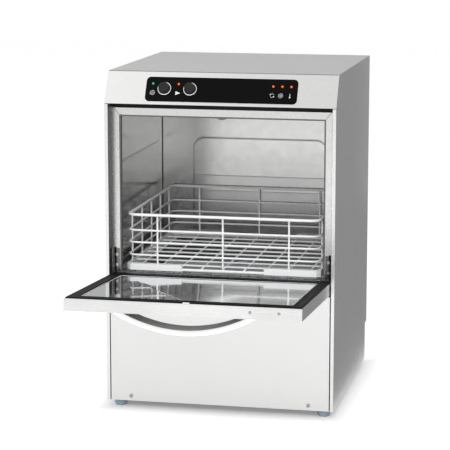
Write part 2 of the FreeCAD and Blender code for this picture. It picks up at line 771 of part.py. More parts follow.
lower_up = base + lower_arm_up
lower_neck = lower_up + arm_tall + seat_gap
lower_cap = lower_neck + rinse_tall + 2 * seat_gap
lower_levels = [floor_z, floor_z + 4, lower_up, lower_neck, lower_cap, lower_cap + 4]
lower_spindle = turned(stacked(lower_levels, [
    (0, 0), (17, 0), (17, 1), (11, 1), (11, 2), (spindle_r, 2), (spindle_r, 3), (neck_r, 3), (neck_r, 4),
    (11, 4), (11, 5), (0, 5)]), 0, arm_y)
upper_top = base + chamber_top
upper_wash = upper_top - upper_arm_down
upper_ring = upper_wash - arm_tall - 2 * seat_gap
upper_neck = upper_ring - 2
upper_cap = upper_neck - rinse_tall - 2 * seat_gap
upper_levels = [upper_top, upper_top - 4, upper_wash, upper_ring, upper_neck, upper_cap, upper_cap - 4]
upper_spindle = turned(stacked(upper_levels, [
    (0, 0), (17, 0), (17, 1), (11, 1), (11, 2), (spindle_r, 2), (spindle_r, 3), (11, 3), (11, 4),
    (neck_r, 4), (neck_r, 5), (11, 5), (11, 6), (0, 6)]), 0, arm_y)
finish("arm_spindles", group(lower_spindle, upper_spindle))

arms = [("lower_wash_arm", arm_half, arm_wide, arm_tall, spindle_r, lower_up + seat_gap, 1),
        ("lower_rinse_arm", rinse_half, rinse_wide, rinse_tall, neck_r, lower_neck + seat_gap, 1),
        ("upper_wash_arm", arm_half, arm_wide, arm_tall, spindle_r, upper_ring + seat_gap, -1),
        ("upper_rinse_arm", rinse_half, rinse_wide, rinse_tall, neck_r, upper_cap + seat_gap, -1)]
for name, length, width, tall, core, up, nozzle_side in arms:
    finish(name, arm(length, width, tall, core + run_gap, up, nozzle_side))

# ---------------------------------------------------------------- pump, heater and works
tray_top = base + skin
pump_z = base + pump_up
volute_half = volute_long / 2
volute = cut(rod("x", pump_y, pump_z, volute_r, (-volute_half, volute_half)),
             rod("x", pump_y, pump_z, volute_r - 4, (4 - volute_half, volute_half - 4)),
             rod("x", pump_y, pump_z, pipe_r - pipe_wall, (-volute_half - 1, 5 - volute_half)),
             rod("x", pump_y, pump_z, shaft_r + run_gap, (volute_half - 5, volute_half + 1)),
             rod("z", 0, pump_y, pipe_r - pipe_wall, (pump_z + volute_r - 12, pump_z + volute_r + 1)))
volute_feet = both_sides(volute_half - 8, volute_half - 3, (pump_y - 12, pump_y + 12),
                         (tray_top, pump_z - volute_r + 3))
finish("pump_volute", fuse(volute, *volute_feet))
motor_x = (volute_half, volute_half + motor_long)
motor = rod("x", pump_y, pump_z, motor_r, motor_x)
motor_foot = block((motor_x[0] + 20, motor_x[1] - 20), (pump_y - 25, pump_y + 25),
                   (tray_top, pump_z - motor_r + 8))
shaft_bite = 30
shaft_bore = rod("x", pump_y, pump_z, shaft_r + run_gap, (volute_half - 1, volute_half + shaft_bite))
finish("wash_pump_motor", cut(fuse(motor, motor_foot), shaft_bore))
vane_r = impeller_r - 2
impeller_disc = rod("x", pump_y, pump_z, impeller_r, (6, 9))
impeller_hub = rod("x", pump_y, pump_z, 11, (-8, 9))
impeller_shaft = rod("x", pump_y, pump_z, shaft_r, (8, volute_half + shaft_bite - 2))
impeller_vanes = [block((-6, 7), (pump_y - 1.5, pump_y + 1.5), (pump_z - vane_r, pump_z + vane_r)),
                  block((-6, 7), (pump_y - vane_r, pump_y + vane_r), (pump_z - 1.5, pump_z + 1.5))]
finish("pump_impeller", fuse(impeller_disc, impeller_hub, impeller_shaft, *impeller_vanes))

tee_z = pump_z + volute_r + 22
riser_y = chamber_back_y + 2 * skin + pipe_r
over_z = base + chamber_top + skin + pipe_r + 6
finish("delivery_manifold", pipe(
    [(0, pump_y, pump_z + volute_r), (0, pump_y, tee_z), (0, riser_y, tee_z), (0, riser_y, over_z),
     (0, arm_y, over_z), (0, arm_y, base + chamber_top + skin)],
    [(0, pump_y, tee_z), (0, arm_y, tee_z), (0, arm_y, floor_z - skin)]))
suction_z = sump_z + 18
finish("suction_hose", pipe([(sump_x, sump_y + sump_r + skin, suction_z), (sump_x, pump_y, suction_z),
                             (sump_x, pump_y, pump_z), (-volute_half, pump_y, pump_z)]))

drain_pump_y = sump_y - 30
drain_pump = fuse(rod("z", drain_x, drain_pump_y, 28, (tray_top, tray_top + 60)),
                  rod("y", drain_x, base + drain_up, 14, (drain_pump_y, drain_pump_y + 34)),
                  rod("z", drain_x, drain_pump_y, 12, (tray_top + 60, tray_top + 72)))
finish("drain_pump", drain_pump)
drain_drop = base + 100
sump_drain = fuse(*pipe_run([(sump_x, sump_y, sump_z - skin), (sump_x, sump_y, drain_drop),
                             (drain_x, sump_y, drain_drop), (drain_x, drain_pump_y, drain_drop),
                             (drain_x, drain_pump_y, tray_top + 72)], drain_r, hose_bend))
waste_hose = rod("y", drain_x, base + drain_up, drain_r, (drain_pump_y + 34, step_y - 14))
spigot = fuse(tube("y", drain_x, base + drain_up, drain_r, 2, (step_y - 14, step_y + drain_long)),
              tube("y", drain_x, base + drain_up, drain_r + collar_wide, collar_wide, (step_y - 6, step_y)))
finish("drain_hoses", group(sump_drain, waste_hose, spigot))

inlet_body = block((inlet_x - 18, inlet_x + 18), (step_y - 62, step_y - 4), (tray_top, base + 76))
inlet_thread = fuse(rod("y", inlet_x, base + inlet_up, inlet_r, (step_y - 5, step_y + inlet_long)),
                    rod("y", inlet_x, base + inlet_up, inlet_r + collar_wide, (step_y - 5, step_y)))
inlet_way = rod("y", inlet_x, base + inlet_up, inlet_r - 4, (step_y - 30, step_y + inlet_long + 1))
finish("inlet_valve", cut(fuse(inlet_body, inlet_thread), inlet_way))
gland = fuse(rod("y", gland_x, base + gland_up, gland_r + collar_wide, (step_y - 16, step_y + 12)),
             rod("y", gland_x, base + gland_up, gland_r + 7, (step_y, step_y + 8)),
             rod("y", gland_x, base + gland_up, gland_r + 7, (step_y - 7, step_y - skin)))
finish("cable_gland", cut(gland, rod("y", gland_x, base + gland_up, gland_r, (step_y - 20, step_y + 20))))

boiler_y = (54, 54 + boiler_long)
boiler_z = base + boiler_r + 14
boiler = cut(rod("y", boiler_x, boiler_z, boiler_r, boiler_y),
             rod("y", boiler_x, boiler_z, boiler_r - 2, (boiler_y[0] + 2, boiler_y[1] - 2)),
             rod("y", boiler_x, boiler_z, 22, (boiler_y[0] - 1, boiler_y[0] + 3)))
saddles = [block((boiler_x - 30, boiler_x + 30), (y, y + 14), (tray_top, boiler_z - boiler_r + 12))
           for y in (boiler_y[0] + 20, boiler_y[1] - 34)]
boiler_bowl = rod("y", boiler_x, boiler_z, boiler_r - 1, (boiler_y[0] + 2, boiler_y[1] - 2))
finish("rinse_boiler", fuse(boiler, *[cut(saddle, boiler_bowl) for saddle in saddles]))


def element(x, z, y, reach):
    """A bent heating rod: two legs and a return bend, on a round flange."""
    legs = [(x - 12, y, z), (x - 12, y + reach, z), (x + 12, y + reach, z), (x + 12, y, z)]
    return fuse(*pipe_run(legs, element_r, element_bend), rod("y", x, z, 24, (y - 4, y)),
                rod("y", x - 12, z, element_r + 2, (y - 16, y - 4)),
                rod("y", x + 12, z, element_r + 2, (y - 16, y - 4)))


heater_z = floor_z + element_r + 3
heater_legs = [(60, chamber_back_y, heater_z), (60, 90, heater_z), (190, 90, heater_z),
               (190, chamber_back_y, heater_z)]
heater_blocks = [block((x - 8, x + 8), (200, 212), (floor_z, floor_z + 4)) for x in (60, 190)]
tank_element = fuse(*pipe_run(heater_legs, element_r, element_bend), *heater_blocks)
finish("heating_elements", group(element(boiler_x, boiler_z, boiler_y[0], boiler_long - 20), tank_element))

softener_x, softener_y, softener_top = (-212, -120), (70, 190), base + 130
salt_cap_r, salt_cap_tall = 26, 14
softener = fuse(block(softener_x, softener_y, (tray_top, softener_top)),
                rod("z", sum(softener_x) / 2, sum(softener_y) / 2, salt_cap_r,
                    (softener_top, softener_top + salt_cap_tall)))
finish("water_softener", softener)

doser_wide, doser_y, doser_top = 38, (40, 86), base + 58
hose_head_r, hose_head_up, hose_head_deep = 15, 34, 6
dosers = [fuse(block((x, x + doser_wide), doser_y, (tray_top, doser_top)),
               rod("y", x + doser_wide / 2, base + hose_head_up, hose_head_r,
                   (doser_y[0] - hose_head_deep, doser_y[0]))) for x in (10, 62)]
finish("dosing_pumps", group(*dosers))

switch_x, switch_y, switch_half = -186, 402, (20, 22)
switch_tiers = [(18, base + 14, base + 36), (4, base + 36, base + 46)]
switch_base = block((switch_x - switch_half[0], switch_x + switch_half[0]),
                    (switch_y - switch_half[1], switch_y + switch_half[1]), (tray_top, base + 14))
finish("pressure_switch", fuse(switch_base, *[rod("z", switch_x, switch_y, radius, (low, high))
                                              for radius, low, high in switch_tiers]))

# ---------------------------------------------------------------- feet
collar_tall, collar_in = 4, 4
for name, x, y in feet:
    sole = add("Part::Prism", "Sole")
    sole.Polygon = 6
    bind(sole, "Circumradius", foot_r)
    bind(sole, "Height", foot_tall - collar_tall)
    place(sole, x, y, 0)
    collar = rod("z", x, y, foot_r - collar_in, (foot_tall - collar_tall, foot_tall - seat_gap))
    stem = rod("z", x, y, stem_r, (foot_tall - collar_tall - 1, foot_tall + stem_long))
    finish("foot_" + name, fuse(sole, collar, stem))

# ---------------------------------------------------------------- basket
ring_half = basket_half - wire_r
front_wire = basket_front + wire_r
back_wire = basket_front + basket_deep - wire_r
skid_tall, skid_wide = 13, 7
skid_leg = 116
chamfer = 8
skid_top = rail_top_z + skid_tall
wire_ups = [31, 57, 82]
post_x, post_pitch = 136, 80
top_wire = rail_top_z + basket_tall - wire_r


def skid(sign):
    """A U-shaped runner along one side and round both its corners."""
    near, far = basket_half - skid_leg, basket_half
    low, high = basket_front, basket_front + basket_deep
    points = [(near, low), (far - chamfer, low), (far, low + chamfer), (far, high - chamfer),
              (far - chamfer, high), (near, high), (near, high - skid_wide),
              (far - skid_wide, high - skid_wide), (far - skid_wide, low + skid_wide),
              (near, low + skid_wide)]
    return plan([(sign * x, y) for x, y in points], (rail_top_z, skid_top))


grid_half = basket_half - skid_wide
inner_y = (basket_front + skid_wide, basket_front + basket_deep - skid_wide)
open_half = basket_half - skid_leg
grid = [rod("x", y, rail_top_z + wire_r, wire_r, (-open_half, open_half))
        for y in (front_wire, back_wire)]
grid_z = rail_top_z + 2 * wire_r
for n in range(-4, 5):
    x = floor_pitch * n
    ends = (front_wire, back_wire) if abs(n) < 2 else inner_y
    grid.append(rod("y", x, grid_z, thin_wire_r, ends))
    grid.append(rod("x", (front_wire + back_wire) / 2 + floor_pitch * n, grid_z + 3, thin_wire_r,
                    (-grid_half, grid_half)))
finish("basket_base", group(fuse(*grid), skid(-1), skid(1)))


def corner_wire(x, y, z, radius, start):
    """A quarter bend of wire where two walls of the basket meet."""
    bend = add("Part::Torus", "Bend")
    bind(bend, "Radius1", basket_corner)
    bind(bend, "Radius2", radius)
    bend.Angle3 = 90
    bend.Placement.Rotation = FreeCAD.Rotation(FreeCAD.Vector(0, 0, 1), start)
    place(bend, x, y, z)
    return bend


wire_levels = [(rail_top_z + up, thin_wire_r) for up in wire_ups] + [(top_wire, wire_r)]


def long_wall(y):
    """The front or back wall: straight wires and three uprights."""
    reach = ring_half - basket_corner
    wires = [rod("x", y, z, radius, (-reach, reach)) for z, radius in wire_levels]
    posts = [rod("z", x, y, thin_wire_r, (foot, top_wire))
             for x, foot in ((-post_x, skid_top), (0, grid_z + thin_wire_r), (post_x, skid_top))]
    return fuse(*wires, *posts)


def end_wall(sign):
    """A side wall: straight wires, both corner bends and five uprights."""
    x = sign * ring_half
    ends = (front_wire + basket_corner, back_wire - basket_corner)
    wires = [rod("y", x, z, radius, ends) for z, radius in wire_levels]
    bends = [corner_wire(sign * (ring_half - basket_corner), ends[0], z, radius, 270 if sign > 0 else 180)
             for z, radius in wire_levels]
    bends += [corner_wire(sign * (ring_half - basket_corner), ends[1], z, radius, 0 if sign > 0 else 90)
              for z, radius in wire_levels]
    middle = (front_wire + back_wire) / 2
    posts = [rod("z", x, middle + post_pitch * n, thin_wire_r, (skid_top, top_wire))
             for n in range(-2, 3)]
    return fuse(*wires, *bends, *posts)


finish("basket_long_walls", group(long_wall(front_wire), long_wall(back_wire)))
finish("basket_side_walls", group(end_wall(-1), end_wall(1)))

# ---------------------------------------------------------------- door, drawn shut about the hinge line
face = -hinge_back
tip = door_reach
heel = -door_tail
heel_r = hinge_up - lower_panel_tall - heel_gap


def door_pan(x, y, z, radius):
    """A block whose lower front edge is rounded about the hinge line."""
    keep = fuse(rod("x", 0, 0, radius, x), block(x, (y[0] - 1, y[1] + 1), (0, z[1] + 1)))
    return common(block(x, y, z), keep)


shell = cut(door_pan((-door_half, door_half), (face, inner_face - skin), (heel, tip), heel_r),
            door_pan((skin - door_half, door_half - skin), (face + skin, inner_face),
                     (heel + skin, tip - skin), heel_r - skin))
pin_holes = [rod("x", 0, 0, pin_r + run_gap, side(sign, door_half - 5, door_half + 5))
             for sign in (-1, 1)]
edge_screw_x = (129, 183)
edge_screw_down = 11
edge_holes = [rod("z", x, inner_face - edge_screw_down, screw_shank, (tip - 3, tip + 1))
              for x in edge_screw_x]
finish_door("door_skin", cut(shell, *pin_holes, *edge_holes))
inner_sheet = block((-door_half, door_half), (inner_face - skin, inner_face), (heel, tip))
tab_x, tab_proud, tab_z = (2, 15), 2.2, (tip - 5.5, tip - 1)
tab = block(tab_x, (inner_face, inner_face + tab_proud), tab_z)
knuckle_y = (inner_face - skin, knuckle_proud)
knuckle_z = (-knuckle_half, knuckle_half)
knuckle_wide, bush_half, bush_deep = 22, 14, 16
knuckle_x = (door_half - skin - knuckle_wide, door_half - skin)
notch_x = (door_half - skin - knuckle_wide, door_half)
finish_door("door_inner_plate", cut(fuse(inner_sheet, tab), *both_sides(*notch_x, knuckle_y, knuckle_z)))
bushes = [cut(fuse(block(side(sign, *knuckle_x), (-bush_deep, inner_face - skin), (-bush_half, bush_half)),
                   block(side(sign, *knuckle_x), knuckle_y, knuckle_z)),
              rod("x", 0, 0, pin_r + run_gap, side(sign, door_half - 30, door_half))) for sign in (-1, 1)]
finish_door("door_bushes", group(*bushes))
gasket_y = (inner_face, niche_deep - hinge_back - seat_gap)
gasket_half = door_half - gasket_edge
gasket_z = (gasket_foot, tip - gasket_tip)
gasket_strips = both_sides(gasket_half - gasket_wide, gasket_half, gasket_y, gasket_z)
gasket_strips += [block((gasket_wide - gasket_half, gasket_half - gasket_wide), gasket_y, ends)
                  for ends in ((gasket_z[0], gasket_z[0] + gasket_wide),
                               (gasket_z[1] - gasket_wide, gasket_z[1]))]
finish_door("door_gasket", group(*gasket_strips))
finish_door("door_screws", group(*[
    fuse(rod("z", x, inner_face - edge_screw_down, screw_head - 1, (tip, tip + 1.2)),
         rod("z", x, inner_face - edge_screw_down, screw_shank, (tip - 8, tip))) for x in edge_screw_x]))
bow_r = (bow_half * bow_half + bow_sag * bow_sag) / (2 * bow_sag)
bow_z = (tip - bow_edge - bow_wide, tip - bow_edge)
bow_centre = face - bow_sag + bow_r
bow_ring = tube("z", 0, bow_centre, bow_r, bow_thick, bow_z)
bow_clip = block((-bow_half, bow_half), (face - bow_sag - 1, face), bow_z)
finish_door("door_handle", common(bow_ring, bow_clip))

# ---------------------------------------------------------------- check and write
doc.recompute()
for item in doc.Objects:
    if {"Invalid", "Error"} & set(item.State):
        raise RuntimeError("%s (%s) is %s" % (item.Name, item.Label, item.State))
for item in pieces:
    if item.Shape.isNull() or not item.Shape.isValid() or not item.Shape.Solids:
        raise RuntimeError("%s has no sound shape" % item.Label)
os.makedirs("parts", exist_ok=True)
for item in pieces:
    item.Shape.exportStep("parts/%s.step" % item.Label)
print("%d pieces written" % len(pieces))
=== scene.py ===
"""A front-loading glass washer with its door let down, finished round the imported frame."""
import json
import math
import bmesh
import bpy
import numpy as np
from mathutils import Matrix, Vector

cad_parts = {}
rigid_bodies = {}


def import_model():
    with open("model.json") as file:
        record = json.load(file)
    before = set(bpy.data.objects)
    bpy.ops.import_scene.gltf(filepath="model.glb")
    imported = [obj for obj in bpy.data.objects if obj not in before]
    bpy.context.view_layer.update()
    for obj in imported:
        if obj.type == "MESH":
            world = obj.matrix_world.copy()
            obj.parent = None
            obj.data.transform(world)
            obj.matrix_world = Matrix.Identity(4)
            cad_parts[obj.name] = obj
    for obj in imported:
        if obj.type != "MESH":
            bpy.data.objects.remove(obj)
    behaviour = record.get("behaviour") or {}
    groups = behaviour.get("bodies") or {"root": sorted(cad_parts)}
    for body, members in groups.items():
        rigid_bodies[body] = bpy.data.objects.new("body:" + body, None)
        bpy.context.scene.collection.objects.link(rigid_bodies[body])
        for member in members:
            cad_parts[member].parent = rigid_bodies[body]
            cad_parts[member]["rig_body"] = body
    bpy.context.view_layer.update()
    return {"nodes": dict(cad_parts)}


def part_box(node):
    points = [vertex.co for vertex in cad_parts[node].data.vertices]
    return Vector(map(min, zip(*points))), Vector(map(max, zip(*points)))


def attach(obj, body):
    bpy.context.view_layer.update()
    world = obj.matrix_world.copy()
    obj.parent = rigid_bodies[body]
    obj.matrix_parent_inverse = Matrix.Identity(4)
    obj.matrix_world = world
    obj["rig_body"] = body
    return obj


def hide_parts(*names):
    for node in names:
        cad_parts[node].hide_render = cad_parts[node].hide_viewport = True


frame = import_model()

# ---------------------------------------------------------------- studio
# A white floor, a large soft lamp high in front, and weaker ones on the left and low in front.
# Grey boards stand behind, above and to the right, where only polished steel can see them.
scene = bpy.context.scene
scene.view_settings.view_transform = "Standard"


def node_step(tree, kind, **sockets):
    """One shader node of a kind, each named socket set to a value or joined to an output."""
    node = tree.nodes.new("ShaderNode" + kind)
    for socket, value in sockets.items():
        target = node.inputs[socket.replace("_", " ")]
        if isinstance(value, bpy.types.NodeSocket):
            tree.links.new(value, target)
        else:
            target.default_value = value
    return node


def bare_material(name):
    """A material with only its output node, which is returned with its tree."""
    material = bpy.data.materials.new(name)
    material.use_nodes = True
    material.node_tree.nodes.clear()
    return material, material.node_tree, material.node_tree.nodes.new("ShaderNodeOutputMaterial")


def worked_out(tree, operation, first, second=0.0):
    """A maths node's output, from two numbers or outputs."""
    node = tree.nodes.new("ShaderNodeMath")
    node.operation = operation
    for socket, value in zip(node.inputs, (first, second)):
        if isinstance(value, bpy.types.NodeSocket):
            tree.links.new(value, socket)
        else:
            socket.default_value = value
    return node.outputs[0]


def object_place(tree):
    """The point being shaded, in the object's own metres."""
    return tree.nodes.new("ShaderNodeTexCoord").outputs["Object"]


def seen_directly(tree):
    """1 for the eye, for polished steel and through glass, and 0 for the light on things."""
    path = tree.nodes.new("ShaderNodeLightPath").outputs
    either = worked_out(tree, "MAXIMUM", path["Is Camera Ray"], path["Is Glossy Ray"])
    return worked_out(tree, "MAXIMUM", either, path["Is Transmission Ray"])


def upright_board(name, corners, material):
    """A flat four-cornered studio board."""
    mesh = bpy.data.meshes.new(name)
    mesh.from_pydata(corners, [], [(0, 1, 2, 3)])
    mesh.materials.append(material)
    board = bpy.data.objects.new(name, mesh)
    scene.collection.objects.link(board)
    return board


floor_white, tree, out = bare_material("floor_white")
lit = node_step(tree, "BsdfDiffuse", Color=(0.74, 0.74, 0.74, 1))
# The floor's own white fades out under the machine, which paints a shadow there over the real one.
# The fade goes by the distance from the footprint, in metres along x or y, whichever is more.
spot = node_step(tree, "SeparateXYZ", Vector=object_place(tree)).outputs
beyond = []
for axis, middle, half in (("X", 0.0, 0.235), ("Y", 0.165, 0.242)):
    centred = worked_out(tree, "SUBTRACT", spot[axis], middle)
    beyond.append(worked_out(tree, "SUBTRACT", worked_out(tree, "ABSOLUTE", centred), half))
white_with_painted_shadow = node_step(tree, "MapRange", Value=worked_out(tree, "MAXIMUM", *beyond),
                      From_Min=-0.03, From_Max=0.04, To_Min=0.15, To_Max=0.58)
shown = worked_out(tree, "MULTIPLY", white_with_painted_shadow.outputs[0], seen_directly(tree))
glow = node_step(tree, "Emission", Color=(1, 1, 1, 1), Strength=shown)
both = tree.nodes.new("ShaderNodeAddShader")
tree.links.new(lit.outputs[0], both.inputs[0])
tree.links.new(glow.outputs[0], both.inputs[1])
tree.links.new(both.outputs[0], out.inputs["Surface"])
upright_board("studio_floor", [(-9, -9, 0), (9, -9, 0), (9, 9, 0), (-9, 9, 0)], floor_white)


def only_in_steel(board):
    """Leaves a board to be seen by polished surfaces alone."""
    board.visible_camera = False
    board.visible_diffuse = False
    board.visible_shadow = False
    board.visible_transmission = False


for name, grey, corners in (
        ("board_behind", 0.48, [(-3.2, 2.6, 0), (0.45, 2.6, 0), (0.45, 2.6, 1.9),
                                (-3.2, 2.6, 1.9)]),
        ("board_right", 0.31, [(0.30, 0.9, 0), (2.6, 0.5, 0), (2.6, 0.5, 1.5), (0.30, 0.9, 1.5)]),
        ("board_low", 0.31, [(0.26, -0.30, 0.001), (2.6, -0.60, 0.001), (2.6, 2.6, 0.001),
                             (0.26, 2.6, 0.001)]),
        ("board_high", 0.72, [(-0.45, -1.05, 1.3), (2.2, -1.05, 1.3), (2.2, -1.05, 3.2),
                              (-0.45, -1.05, 3.2)])):
    material, tree, out = bare_material(name)
    tree.links.new(node_step(tree, "Emission", Color=(grey, grey, grey, 1)).outputs[0],
                   out.inputs["Surface"])
    only_in_steel(upright_board(name, corners, material))

world = bpy.data.worlds.new("studio")
world.use_nodes = True
scene.world = world
sky = world.node_tree.nodes["Background"]
sky.inputs["Color"].default_value = (1, 1, 1, 1)
level = node_step(world.node_tree, "MapRange", Value=seen_directly(world.node_tree), To_Min=0.55,
                  To_Max=1.0)
world.node_tree.links.new(level.outputs[0], sky.inputs["Strength"])


def soft_lamp(name, place, aim, width, power):
    """A square lamp at place, turned to face aim."""
    data = bpy.data.lights.new(name, "AREA")
    data.shape = "SQUARE"
    data.size = width
    data.energy = power
    lamp = bpy.data.objects.new(name, data)
    lamp.location = place
    lamp.visible_glossy = False
    lamp.rotation_euler = (Vector(aim) - Vector(place)).to_track_quat("-Z", "Y").to_euler()
    scene.collection.objects.link(lamp)


soft_lamp("lamp_front", (0.75, -3.0, 2.6), (0, 0, 0.35), 2.2, 62)
soft_lamp("lamp_left", (-2.0, -2.0, 1.9), (0, 0, 0.35), 1.6, 14)
soft_lamp("lamp_low", (0.2, -3.2, 0.9), (0, 0, 0.40), 1.4, 14)

camera_data = bpy.data.cameras.new("camera")
camera_data.sensor_width = 36
camera_data.lens = 151.42
camera = bpy.data.objects.new("camera", camera_data)
scene.collection.objects.link(camera)
camera.location = (0.7847, -3.7213, 1.0551)
camera.rotation_euler = (math.pi / 2 - 0.17684, 0, 0.20873)
scene.camera = camera

# ---------------------------------------------------------------- cabinet panels
# The two sides, the top, the back, the base tray and the lower front are 1.2 mm stainless sheet
# with a belted grain. They are folded round a small radius, then screwed or spot welded.
def surface_finish(name, pale, dark, rough, metal=0.0, grain=(300, 300, 300), lift=0.05,
                   cloud=9.0, relief=0.0002):
    """A finish in which a fine noise, drawn out by its three scales, sets the roughness and lifts
    the surface, and a slow noise takes the colour from dark to pale."""
    material, tree, out = bare_material(name)
    place = object_place(tree)
    drawn = node_step(tree, "Mapping", Vector=place, Scale=grain)
    fine = node_step(tree, "TexNoise", Vector=drawn.outputs[0], Scale=1.0, Detail=3.0)
    slow = node_step(tree, "TexNoise", Vector=place, Scale=cloud, Detail=2.0)
    tint = node_step(tree, "MixRGB", Fac=slow.outputs[0], Color1=(*dark, 1), Color2=(*pale, 1))
    streak = node_step(tree, "MixRGB", Fac=fine.outputs[0], Color2=tint.outputs[0],
                       Color1=(*[0.5 * (a + b) for a, b in zip(pale, dark)], 1))
    matt = node_step(tree, "MapRange", Value=fine.outputs[0], From_Min=0.3, From_Max=0.7,
                     To_Min=rough[0], To_Max=rough[1])
    bump = node_step(tree, "Bump", Height=fine.outputs[0], Strength=lift, Distance=relief)
    shader = node_step(tree, "BsdfPrincipled", Base_Color=streak.outputs[0], Metallic=metal,
                       Roughness=matt.outputs[0], Normal=bump.outputs[0])
    tree.links.new(shader.outputs[0], out.inputs["Surface"])
    material["shader"] = shader.name
    return material


def shader_of(material):
    """The shader node of a finish, for a socket of its own."""
    return material.node_tree.nodes[material["shader"]]


def place_piece(name, mesh, finish, body, nodes=()):
    """Hangs a finished mesh on its body, and hides the nodes it replaces."""
    piece = bpy.data.objects.new(name, mesh)
    scene.collection.objects.link(piece)
    mesh.materials.clear()
    mesh.materials.append(finish)
    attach(piece, body)
    if nodes:
        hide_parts(*nodes)
    return piece


def body_of(node):
    """The body that a node moves with."""
    return frame["nodes"][node]["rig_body"]


def eased(node, finish, edge, steps=2, angle=28.0):
    """A copy of a node with its loose corners joined and its sharp edges rounded off."""
    mesh = frame["nodes"][node].data.copy()
    shell = bmesh.new()
    shell.from_mesh(mesh)
    bmesh.ops.remove_doubles(shell, verts=shell.verts, dist=2e-6)
    bmesh.ops.dissolve_limit(shell, angle_limit=math.radians(0.4), verts=shell.verts,
                             edges=shell.edges)
    shell.to_mesh(mesh)
    shell.free()
    mesh.shade_smooth()
    piece = place_piece(node + "_finished", mesh, finish, body_of(node), [node])
    if edge:
        bend = piece.modifiers.new("bend_radius", "BEVEL")
        bend.width = edge
        bend.segments = steps
        bend.limit_method = "ANGLE"
        bend.angle_limit = math.radians(angle)
        bend.harden_normals = True
    mesh.set_sharp_from_angle(angle=math.radians(angle))
    return piece


def dressed(node, finish):
    """A node whose shape is right as it is, given its finish."""
    slots = frame["nodes"][node].data.materials
    slots.clear()
    slots.append(finish)


front_sheet = surface_finish("front_sheet", (0.70, 0.70, 0.695), (0.66, 0.66, 0.655), (0.28, 0.34),
                             1.0, grain=(7, 500, 900), lift=0.02)
side_sheet = surface_finish("side_sheet", (0.74, 0.74, 0.74), (0.68, 0.68, 0.68), (0.26, 0.38), 1.0,
                            grain=(500, 700, 6))
top_sheet = surface_finish("top_sheet", (0.78, 0.78, 0.78), (0.72, 0.72, 0.72), (0.28, 0.40), 1.0,
                           grain=(7, 700, 500))
galvanised = surface_finish("base_sheet", (0.62, 0.63, 0.64), (0.48, 0.49, 0.50), (0.35, 0.55), 1.0,
                            cloud=60.0)
for side in ("left", "right"):
    eased("side_panel_" + side, side_sheet, 0.0005)
eased("top_cover", top_sheet, 0.0006)
eased("back_panel", side_sheet, 0.0005)
eased("base_tray", galvanised, 0.0005)
eased("lower_front_panel", front_sheet, 0.0006)

# ---------------------------------------------------------------- control fascia
# The sloping fascia is one folded sheet, polished a little brighter than the body. Its strip is a
# gloss black acrylic label plate with printed symbols, let in over the switches and lamps.
lean = math.radians(29.358)
panel_front = 77.198
foot_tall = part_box("side_panel_left")[0].z
fascia_foot = np.array([0.0, -0.001 * panel_front, foot_tall + 0.612])
up_slope = np.array([0.0, math.sin(lean), math.cos(lean)])
off_fascia = np.array([0.0, -math.cos(lean), math.sin(lean)])
strip_face, ink = 0.8, 0.12


def on_fascia(across, up, out):
    """Points given in mm across, up the slope and out of the fascia, as points in metres."""
    across, up, out = np.broadcast_arrays(*[np.asarray(part, float) for part in (across, up, out)])
    return fascia_foot + 0.001 * (across[..., None] * np.array([1.0, 0, 0])
                                  + up[..., None] * up_slope + out[..., None] * off_fascia)


def woven_mesh(name, grids, close_rows=False, close_round=True, caps=True, smooth=True):
    """One mesh from point grids: a grid's points are joined four by four, rows along the piece and
    columns round it. The first and last row are closed with a face each when they are open."""
    points, faces, base = [], [], 0
    for grid in grids:
        rows, columns = grid.shape[:2]
        index = np.arange(rows * columns).reshape(rows, columns)
        if close_round:
            index = np.hstack([index, index[:, :1]])
        if close_rows:
            index = np.vstack([index, index[:1]])
        quads = np.stack([index[:-1, :-1], index[1:, :-1], index[1:, 1:], index[:-1, 1:]], -1)
        faces += (quads.reshape(-1, 4) + base).tolist()
        if caps and close_round and not close_rows:
            ends = (index[0, :columns][::-1], index[-1, :columns])
            faces += [(end + base).tolist() for end in ends]
        points.append(grid.reshape(-1, 3))
        base += rows * columns
    mesh = bpy.data.meshes.new(name)
    mesh.from_pydata(np.vstack(points).tolist(), [], faces)
    shell = bmesh.new()
    shell.from_mesh(mesh)
    bmesh.ops.remove_doubles(shell, verts=shell.verts, dist=1e-6)
    bmesh.ops.recalc_face_normals(shell, faces=shell.faces)
    shell.to_mesh(mesh)
    shell.free()
    if smooth:
        mesh.shade_smooth()
        mesh.set_sharp_from_angle(angle=math.radians(35))
    return mesh


def printed_line(points, width, closed=False):
    """A ribbon of ink: the path's points pushed half the width to each side along its normals."""
    path = np.asarray(points, float)
    if closed:
        along = np.roll(path, -1, 0) - np.roll(path, 1, 0)
    else:
        along = np.gradient(path, axis=0)
    along /= np.linalg.norm(along, axis=1, keepdims=True)
    beside = np.stack([-along[:, 1], along[:, 0]], 1) * width / 2
    edges = np.stack([path + beside, path - beside, path - beside, path + beside], 1)
    out = np.array([strip_face + ink, strip_face + ink, strip_face, strip_face])
    return on_fascia(edges[..., 0], edges[..., 1], out[None, :])


def arc_points(x, up, radius, start, end, steps=33):
    """Points of a circle's arc from one bearing to another, in degrees from the right: the centre
    plus the radius times the bearing's cosine and sine."""
    bearing = np.radians(np.linspace(start, end, steps))
    return np.stack([x + radius * np.cos(bearing), up + radius * np.sin(bearing)], 1)


def ring_points(x, up, radius, steps=48):
    """Points of a whole circle, the last one short of the first."""
    return arc_points(x, up, radius, 0, 360, steps + 1)[:-1]


def filled(points):
    """A printed patch: a ribbon as wide as the patch, narrowing along it to nothing."""
    (x0, up0), (x1, up1), (x2, up2) = points
    rows = np.linspace(0, 1, 12)[:, None]
    upper = (1 - rows) * np.array([x0, up0]) + rows * np.array([x2, up2])
    lower = (1 - rows) * np.array([x1, up1]) + rows * np.array([x2, up2])
    edges = np.stack([upper, lower, lower, upper], 1)
    out = np.array([strip_face + ink, strip_face + ink, strip_face, strip_face])
    return on_fascia(edges[..., 0], edges[..., 1], out[None, :])


